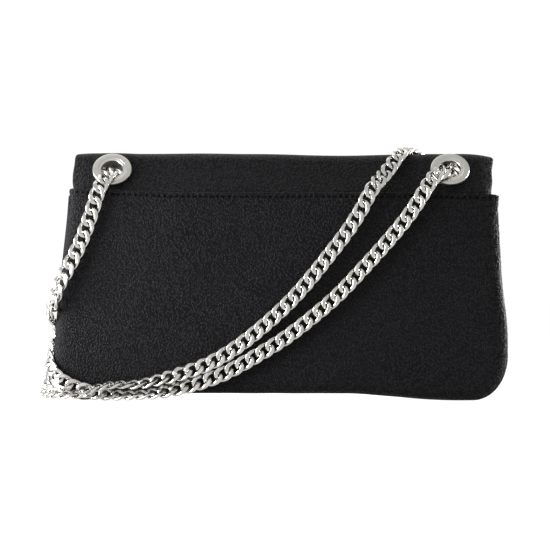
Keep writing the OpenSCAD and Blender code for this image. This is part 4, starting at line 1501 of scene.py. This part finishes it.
@dataclass
class ZipCoil:
    """The closed coil of the inner zip: two rows of loops that mesh.

    Attributes:
        pitch: Distance from one loop to the next.
        wire: Radius of the nylon.
        loop: Half depth of a loop, middle of its height and half height, as shares of the room.
        steps: Points of one loop.
        sides: Points of the nylon's section.
    """

    pitch: float = 0.0015
    wire: float = 0.00032
    loop: tuple[float, float, float] = (0.8, 0.45, 0.5)
    steps: int = 9
    sides: int = 4

    def build(self, finishes: Finishes) -> bpy.types.Object:
        """Makes two flattened helices of opposite hand inside the node's box."""
        low, high = (np.array(v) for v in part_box("zip_coil"))
        centre, radius = (low + high) / 2, (high[2] - low[2]) / 2 - self.wire
        turns = int((high[0] - low[0]) / self.pitch) - 1
        t = np.linspace(0, 1, turns * self.steps)
        a, b = 2 * np.pi * turns * t, circle(self.sides)
        deep, middle, high_half = self.loop
        parts = []
        for hand in (-1, 1):
            path = np.stack([low[0] + self.pitch / 2 + (high[0] - low[0] - self.pitch) * t,
                             centre[1] + deep * radius * np.cos(a),
                             centre[2] + hand * radius * (middle + high_half * np.sin(a))], -1)
            step = unit(np.gradient(path, axis=0))
            side = unit(np.cross(step, [1.0, 0.0, 0.0]))
            up = np.cross(side, step)
            across = self.wire * (np.cos(b)[None, :, None] * side[:, None]
                                  + np.sin(b)[None, :, None] * up[:, None])
            parts.append(swept(path, across[:, ::-1], False))
        piece = add_piece("zip_coil_loops", Surface.joined(parts), finishes.coil)
        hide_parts("zip_coil")
        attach(piece, "bag")
        return piece


@dataclass
class Eyelet:
    """A domed eyelet with its barrel rolled over the inner washer.

    Attributes:
        places: Where the eyelets sit.
        outer: Outer radius of the ring.
        bore: Radius of the bore.
        height: Height of the ring over the leather.
        wall: Wall of the barrel.
        end: Depth at which the rolled end lies.
        roll: Radius that the rolled end reaches.
        round: Radius of the shoulder and of the rolled end's curl.
        face_in: Radius at which the face ends inwards.
        lip: Radius at which the bore's round lip stands highest, and its own radius.
        steps: Sections round the ring.
    """

    places: EyeletPlaces
    outer: float = 0.0122
    bore: float = 0.0066
    height: float = 0.0029
    wall: float = 0.0008
    end: float = -0.0054
    roll: float = 0.0083
    round: float = 0.0007
    face_in: float = 0.00835
    lip: tuple[float, float] = (0.00735, 0.00075)
    steps: int = 144

    def profile(self) -> Array:
        """The ring's section as (radius, height) pairs, clockwise.

        A steep outer wall leads over a round shoulder to a nearly flat face. A fine groove
        parts it from the round lip of the bore. The barrel ends in a rolled flange.
        """
        high, inner, tail = self.height, self.bore + self.wall, self.end + self.wall
        wall = np.array([[self.outer - 0.0003, 0.0001], [self.outer, 0.0004],
                         [self.outer, 0.0012], [self.outer - 0.00006, 0.0021]])
        shoulder = arc((self.outer - 0.0008, high - 0.00077), self.round,
                       np.radians(np.linspace(8, 84, 6)))
        t = np.linspace(0, 1, 7)[1:]
        face = np.stack([shoulder[-1, 0] + (self.face_in - shoulder[-1, 0]) * t,
                         shoulder[-1, 1] + 0.00006 * np.sin(np.pi * t)], -1)
        groove = np.array([[self.face_in - 0.00013, high - 0.0003],
                           [self.face_in - 0.00025, high - 0.00034]])
        lip = arc((self.lip[0], high - 0.001), self.lip[1], np.radians(np.linspace(70, 180, 8)))
        barrel = np.array([[self.bore, 0.001], [self.bore, -0.002], [self.bore, self.end + 0.0008]])
        curl = arc((self.bore + self.round, self.end + self.round), self.round,
                   np.radians(np.linspace(180, 270, 5)))
        flange = np.array([[self.roll - 0.0003, self.end], [self.roll, self.end + 0.0003],
                           [self.roll - 0.0003, tail], [inner + 0.0002, tail],
                           [inner, self.end + 0.0012], [inner, 0.0001]])
        return np.concatenate([wall, shoulder, face, groove, lip, barrel, curl[1:], flange])

    def build(self, side: int, face: Face, finishes: Finishes) -> bpy.types.Object:
        """Makes one eyelet at its place.

        Args:
            side: -1 for the left one, 1 for the right one.
            face: The face it sits on.
            finishes: The materials.

        Returns:
            The piece.
        """
        surface = turned(self.profile()[::-1], self.steps)
        normal, up = self.places.form.slope_frame(face)
        across = np.cross(up, normal)
        turn = np.stack([across, up, normal])
        centre = self.places.centre(side, face)
        placed = Surface(surface.points @ turn + centre, surface.quads)
        words = ("back" if face is Face.BACK else "flap", "left" if side < 0 else "right")
        piece = add_piece("domed_eyelet_%s_%s" % words, placed, finishes.ring)
        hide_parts("eyelet_%s_%s" % words)
        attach(piece, "bag" if face is Face.BACK else "flap")
        return piece


@dataclass
class CurbLink:
    """One twisted link with ground faces.

    Its centre line is (half_l cos t, half_w sin t, -twist sin 2t). Its section is a rounded
    rectangle whose broad side faces out of the chain's plane. Both faces are ground flat:
    heights z are held inside the limit as z / (1 + (|z| / limit)^p)^(1/p).

    Attributes:
        half_l: Half length of the centre line.
        half_w: Half width of the centre line.
        twist: Height of the twist.
        broad: Half width of the section across the chain's plane.
        thin: Half width of the section along the plane's normal.
        limit: Height at which the ground faces cut the link.
        edge: The power p; the larger it is, the sharper is the ground face's edge.
        square: Power that rounds the section: 1 for an ellipse, 0 for a rectangle.
        rings: Sections round the link.
        sides: Points of one section.
    """

    half_l: float = 0.00505
    half_w: float = 0.0036
    twist: float = 0.0015
    broad: float = 0.00125
    thin: float = 0.00095
    limit: float = 0.00165
    edge: float = 9.0
    square: float = 0.7
    rings: int = 32
    sides: int = 10

    def surface(self) -> Surface:
        """The link about the origin, length along X, flat face along Z."""
        t = circle(self.rings)
        zero = np.zeros_like(t)
        line = np.stack([self.half_l * np.cos(t), self.half_w * np.sin(t),
                         -self.twist * np.sin(2 * t)], -1)
        step = unit(np.stack([-self.half_l * np.sin(t), self.half_w * np.cos(t),
                              -2 * self.twist * np.cos(2 * t)], -1))
        side = unit(np.cross(step, np.stack([zero, zero, zero + 1], -1)))
        up = np.cross(side, step)
        a = circle(self.sides) + np.pi / self.sides
        c, s = np.cos(a), np.sin(a)
        c, s = (np.sign(v) * np.abs(v) ** self.square for v in (c, s))
        across = (self.broad * c[None, :, None] * side[:, None]
                  + self.thin * s[None, :, None] * up[:, None])
        link = swept(line, across[:, ::-1], True)
        z = link.points[:, 2]
        link.points[:, 2] = z / (1 + np.abs(z / self.limit) ** self.edge) ** (1 / self.edge)
        return link


@dataclass
class CurbChain:
    """The chain's eight stretches, each link set on the CAD link it stands for."""

    link: CurbLink = field(default_factory=CurbLink)

    @staticmethod
    def link_frames(node: str) -> tuple[Array, Array]:
        """Places and axes of a node's links.

        Triangles that share a place belong to one link: the smallest label spreads along them
        until nothing changes. A link's centre is the mean of its places, and its axes are the
        principal ones, longest first.

        Args:
            node: The node's name.

        Returns:
            Centres, N by 3, and axes, N by 3 by 3, one axis a row.
        """
        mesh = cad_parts[node].data
        co = np.empty(len(mesh.vertices) * 3, np.float32)
        mesh.vertices.foreach_get("co", co)
        mesh.calc_loop_triangles()
        tris = np.empty(len(mesh.loop_triangles) * 3, np.int32)
        mesh.loop_triangles.foreach_get("vertices", tris)
        places, merged = np.unique(np.round(co.reshape(-1, 3).astype(float), 6), axis=0,
                                   return_inverse=True)
        tris = merged.ravel()[tris].reshape(-1, 3)
        label = np.arange(len(places))
        while True:
            low = label[tris].min(axis=1)
            spread = label.copy()
            np.minimum.at(spread, tris.ravel(), np.repeat(low, 3))
            if (spread == label).all():
                break
            label = spread
        _, label = np.unique(label, return_inverse=True)
        links = label.max() + 1
        size = np.bincount(label, minlength=links)[:, None]
        centre = np.stack([np.bincount(label, places[:, k], links) for k in range(3)], -1) / size
        d = places - centre[label]
        spread = np.zeros((links, 3, 3))
        np.add.at(spread, label, d[:, :, None] * d[:, None, :])
        _, vectors = np.linalg.eigh(spread)
        axes = np.swapaxes(vectors[:, :, ::-1], 1, 2)
        axes[:, 2] = np.cross(axes[:, 0], axes[:, 1])
        return centre, axes

    def build_stretch(self, node: str, finishes: Finishes) -> bpy.types.Object:
        """Sets a fine link on each link of the node."""
        link = self.link.surface()
        centre, axes = self.link_frames(node)
        points = np.einsum("pk,nkj->npj", link.points, axes) + centre[:, None]
        quads = link.quads[None] + (len(link.points) * np.arange(len(centre)))[:, None, None]
        surface = Surface(points.reshape(-1, 3), quads.reshape(-1, 4))
        name = node.replace("chain", "curb_links")
        piece = add_piece(name, surface, finishes.nickel)
        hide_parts(node)
        return piece

    def build(self, form: BodyForm, finishes: Finishes) -> None:
        """Makes all stretches: four are attached to the bag; the four between bag and flap are
        baked where they lie, and their spans are not used.
        """
        for node in ("chain_left", "chain_lower", "chain_upper", "chain_side"):
            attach(self.build_stretch(node, finishes), "bag")
        z = form.ridge_z
        spans = {"chain_right_passage": ((0, -0.011, z), (0, 0.011, z)),
                 "chain_left_passage": ((0, -0.011, z), (0, 0.011, z)),
                 "chain_ridge": ((0, -0.008, z), (0, 0.012, z)),
                 "chain_turn": ((-0.126, 0.008, 0.118), (-0.112, 0.022, 0.142))}
        for node, (start, end) in spans.items():
            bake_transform(self.build_stretch(node, finishes))


@dataclass(frozen=True)
class Lamp:
    """A soft square lamp that looks at the bag.

    Attributes:
        name: The lamp's name.
        place: Where it hangs.
        watts: Its power.
        size: Its side length.
    """

    name: str
    place: tuple
    watts: float
    size: float

    def hang(self) -> None:
        """Puts the lamp into the scene."""
        data = bpy.data.lights.new(self.name, "AREA")
        data.energy, data.size = self.watts, self.size
        lamp = bpy.data.objects.new(self.name, data)
        lamp.location = self.place
        aim = Vector((0.0, 0.0, 0.08)) - Vector(self.place)
        lamp.rotation_euler = aim.to_track_quat("-Z", "Y").to_euler()
        bpy.context.scene.collection.objects.link(lamp)


LAMPS = (
    Lamp("key_left", (-0.44, -0.175, 0.13), 7.6, 0.26),
    Lamp("front_soft", (-0.3, -1.6, 0.9), 3.0, 1.4),
    Lamp("edge_right", (0.7, 0.13, 0.16), 12.0, 0.3),
    Lamp("edge_left", (-0.8, -0.05, 0.2), 3.0, 0.5),
    Lamp("top_soft", (-0.2, 0.3, 1.0), 2.5, 0.8),
    Lamp("flap_side", (0.42, 0.23, 0.15), 6.0, 0.26),
)


@dataclass
class Stage:
    """Floor, light, surroundings and camera.

    Attributes:
        pixel: Size of a pixel of the photograph at the bag's back face.
        picture: Width of the photograph in pixels.
        aim_x: Where the picture's middle meets the bag, along X.
        aim_z: Height of the picture's middle.
        face_y: Where the pixel's size holds, along Y.
        distance: Distance of the camera from the middle of the bag.
        sensor: Width of the camera's sensor in millimetres.
        floor_half: Half width of the floor.
        glow: Brightness of the floor where it is seen.
        dim: Grey of the matt share that takes the shadows there.
        matt: Grey of the floor as the bag meets it.
        sky: Brightness of the surroundings where they are seen.
        fill: Share of it that lights the bag.
    """

    pixel: float = 0.000614
    picture: int = 550
    aim_x: float = -0.0037
    aim_z: float = 0.0774
    face_y: float = -0.0269
    distance: float = 1.8
    sensor: float = 36.0
    floor_half: float = 6.0
    glow: float = 0.975
    dim: float = 0.2
    matt: float = 0.86
    sky: float = 1.04
    fill: float = 0.15

    def camera(self) -> None:
        """A level camera whose frame is picture times pixel wide at the bag's face."""
        data = bpy.data.cameras.new("photo_camera")
        data.sensor_width = self.sensor
        data.lens = self.sensor * (self.distance + self.face_y) / (self.pixel * self.picture)
        data.clip_start, data.clip_end = 0.05, 50.0
        camera = bpy.data.objects.new("photo_camera", data)
        camera.location = (self.aim_x, -self.distance, self.aim_z)
        camera.rotation_euler = (math.pi / 2, 0.0, 0.0)
        bpy.context.scene.collection.objects.link(camera)
        bpy.context.scene.camera = camera

    def floor(self) -> None:
        """A white floor: it glows where it is seen, with a dim matt share for shadows."""
        t = np.linspace(-self.floor_half, self.floor_half, 3)
        x, y = np.meshgrid(t, t)
        surface = Surface.grid(np.stack([x, y, np.zeros_like(x)], -1))
        g = Graph("studio_floor")
        dim = g.add("ShaderNodeBsdfDiffuse", None, {"Color": grey(self.dim)})
        glow = g.add("ShaderNodeEmission", None, {"Color": grey(1.0), "Strength": self.glow})
        both = g.add("ShaderNodeAddShader", None, {0: dim.outputs[0], 1: glow.outputs[0]})
        matt = g.add("ShaderNodeBsdfDiffuse", None, {"Color": grey(self.matt)})
        mix = g.add("ShaderNodeMixShader", None,
                    {0: g.seen(), 1: matt.outputs[0], 2: both.outputs[0]})
        g.add("ShaderNodeOutputMaterial", None, {"Surface": mix.outputs[0]})
        mesh = bpy.data.meshes.new("floor")
        mesh.from_pydata(surface.points.tolist(), [], surface.quads.tolist())
        mesh.materials.append(g.owner)
        floor = bpy.data.objects.new("floor", mesh)
        bpy.context.scene.collection.objects.link(floor)

    def surroundings(self) -> None:
        """White where it is seen; a soft even light otherwise."""
        g = Graph("studio", world=True)
        glow = g.add("ShaderNodeBackground", None,
                     {"Color": grey(self.sky), "Strength": g.seen().most(self.fill)})
        g.add("ShaderNodeOutputWorld", None, {"Surface": glow.outputs[0]})
        bpy.context.scene.world = g.owner

    def build(self) -> None:
        """Sets up the whole stage."""
        bpy.context.scene.view_settings.view_transform = "Standard"
        self.camera()
        self.floor()
        self.surroundings()
        for lamp in LAMPS:
            lamp.hang()


@dataclass
class FlapBag:
    """The whole bag, built piece by piece.

    Attributes:
        form: The bag's form.
        board_thick: Thickness of the base board.
        window_gap: Gap between the zip's tape and the window round it.
    """

    form: BodyForm = field(default_factory=BodyForm)
    board_thick: float = 0.0012
    window_gap: float = 0.0002

    def dress_nodes(self, finishes: Finishes) -> None:
        """Gives the carried-over CAD nodes their materials."""
        metal = ["washer_back_left", "washer_back_right", "washer_flap_left", "washer_flap_right",
                 "snap_socket", "snap_socket_washer", "snap_stud", "snap_stud_washer",
                 "zip_slider", "zip_puller"]
        for name in metal:
            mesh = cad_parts[name].data
            mesh.materials.clear()
            mesh.materials.append(finishes.ring)

    def board(self, finishes: Finishes) -> bpy.types.Object:
        """Lays the stiff board on the inside of the base, bent as the base is."""
        low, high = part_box("base_board")
        x, y = np.meshgrid(np.linspace(low[0], high[0], 90), np.linspace(low[1], high[1], 5))
        z = self.form.base_z(x, low[2] + self.board_thick)
        surface = Surface.grid(self.form.settled(np.stack([x, y, z], -1)))
        surface = surface.thickened(self.board_thick, 1)
        piece = add_piece("bent_base_board", surface, finishes.board)
        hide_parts("base_board")
        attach(piece, "bag")
        return piece

    def pocket(self) -> WallPanel:
        """The back slip pocket with its sewn top edge."""
        return WallPanel(self.form, "back_slip_pocket", "back_pocket", Face.BACK, y=0.0269,
                         inset=0.0007, top=0.1276, thickness=0.0017, drop=0.0035, drop_w=0.013,
                         groove=0.0018, rise_left=0.0030, fall_right=0.0010, flare=0.0016,
                         uneven=0.0007, seed=5, columns=330)

    def build(self) -> None:
        """Builds and dresses every piece in order."""
        finishes = Finishes()
        eyelets = EyeletPlaces(self.form)
        outer = OuterLeather(self.form, eyelets)
        outer.build(finishes)
        InnerLeather(outer).build(finishes)
        pocket = self.pocket()
        pocket.build(finishes)
        StitchRow(pocket, "pocket_stitches").build(finishes)
        WallPanel(self.form, "front_leather", "front_panel", Face.FRONT, y=0.025, inset=0.0014,
                  top=0.117, thickness=0.002, drop=0.0016, drop_w=0.009, seed=8,
                  uneven=0.0003).build(finishes)
        GussetStrip(self.form, "gusset_leather", "gusset", inset=0.0, thickness=0.0018,
                    half_y=0.0240, top=0.115, tuck=0.0018, rise_back=0.0098).build(finishes.leather)
        GussetStrip(self.form, "gusset_lining", "lining_gusset", inset=0.0036, thickness=0.0005,
                    half_y=0.0205, top=0.1145, tuck=0.0, mouth=0.0198, floor=0.0138, grow=0.0026,
                    slot=Slot.CLOTH).build(finishes.cloth)
        self.board(finishes)
        self.line_inside(finishes)
        ZipCoil().build(finishes)
        ring = Eyelet(eyelets)
        for face in Face:
            for side in (-1, 1):
                ring.build(side, face, finishes)
        CurbChain().build(self.form, finishes)
        self.dress_nodes(finishes)

    def line_inside(self, finishes: Finishes) -> None:
        """Makes the linings, facings, pockets and the zip's tape and frame."""
        low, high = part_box("zip_tape")
        gap = self.window_gap
        window = (low[0] - gap, low[2] - gap, high[0] + gap, high[2] + gap)
        pieces = [
            LiningPiece("back_lining", "lining_back", Face.FRONT, 0.0002, Slot.CLOTH, window),
            LiningPiece("front_lining", "lining_front", Face.BACK, 0.0003, Slot.CLOTH),
            LiningPiece("front_facing", "facing_front", Face.BACK, 0.0001, Slot.LINING_LEATHER),
            LiningPiece("back_facing", "facing_back", Face.FRONT, 0.0001, Slot.LINING_LEATHER),
            LiningPiece("zip_pocket_cloth", "zip_pocket_bag", Face.FRONT, 0.0, Slot.CLOTH),
            LiningPiece("zip_leather_frame", "zip_frame", Face.FRONT, 0.0, Slot.LEATHER, window),
            LiningPiece("zip_woven_tape", "zip_tape", Face.FRONT, 0.0, Slot.CLOTH),
            LiningPiece("slip_pocket_cloth", "slip_pocket", Face.BACK, 0.0003, Slot.CLOTH),
        ]
        stuff = {Slot.CLOTH: finishes.cloth, Slot.LINING_LEATHER: finishes.lining,
                 Slot.LEATHER: finishes.leather}
        for piece in pieces:
            piece.build(self.form, stuff[piece.slot])


def main() -> None:
    """Builds the bag and its stage."""
    logging.basicConfig(level=logging.INFO, format="%(name)s: %(message)s")
    FlapBag().build()
    Stage().build()


if __name__ == "__main__":
    main()
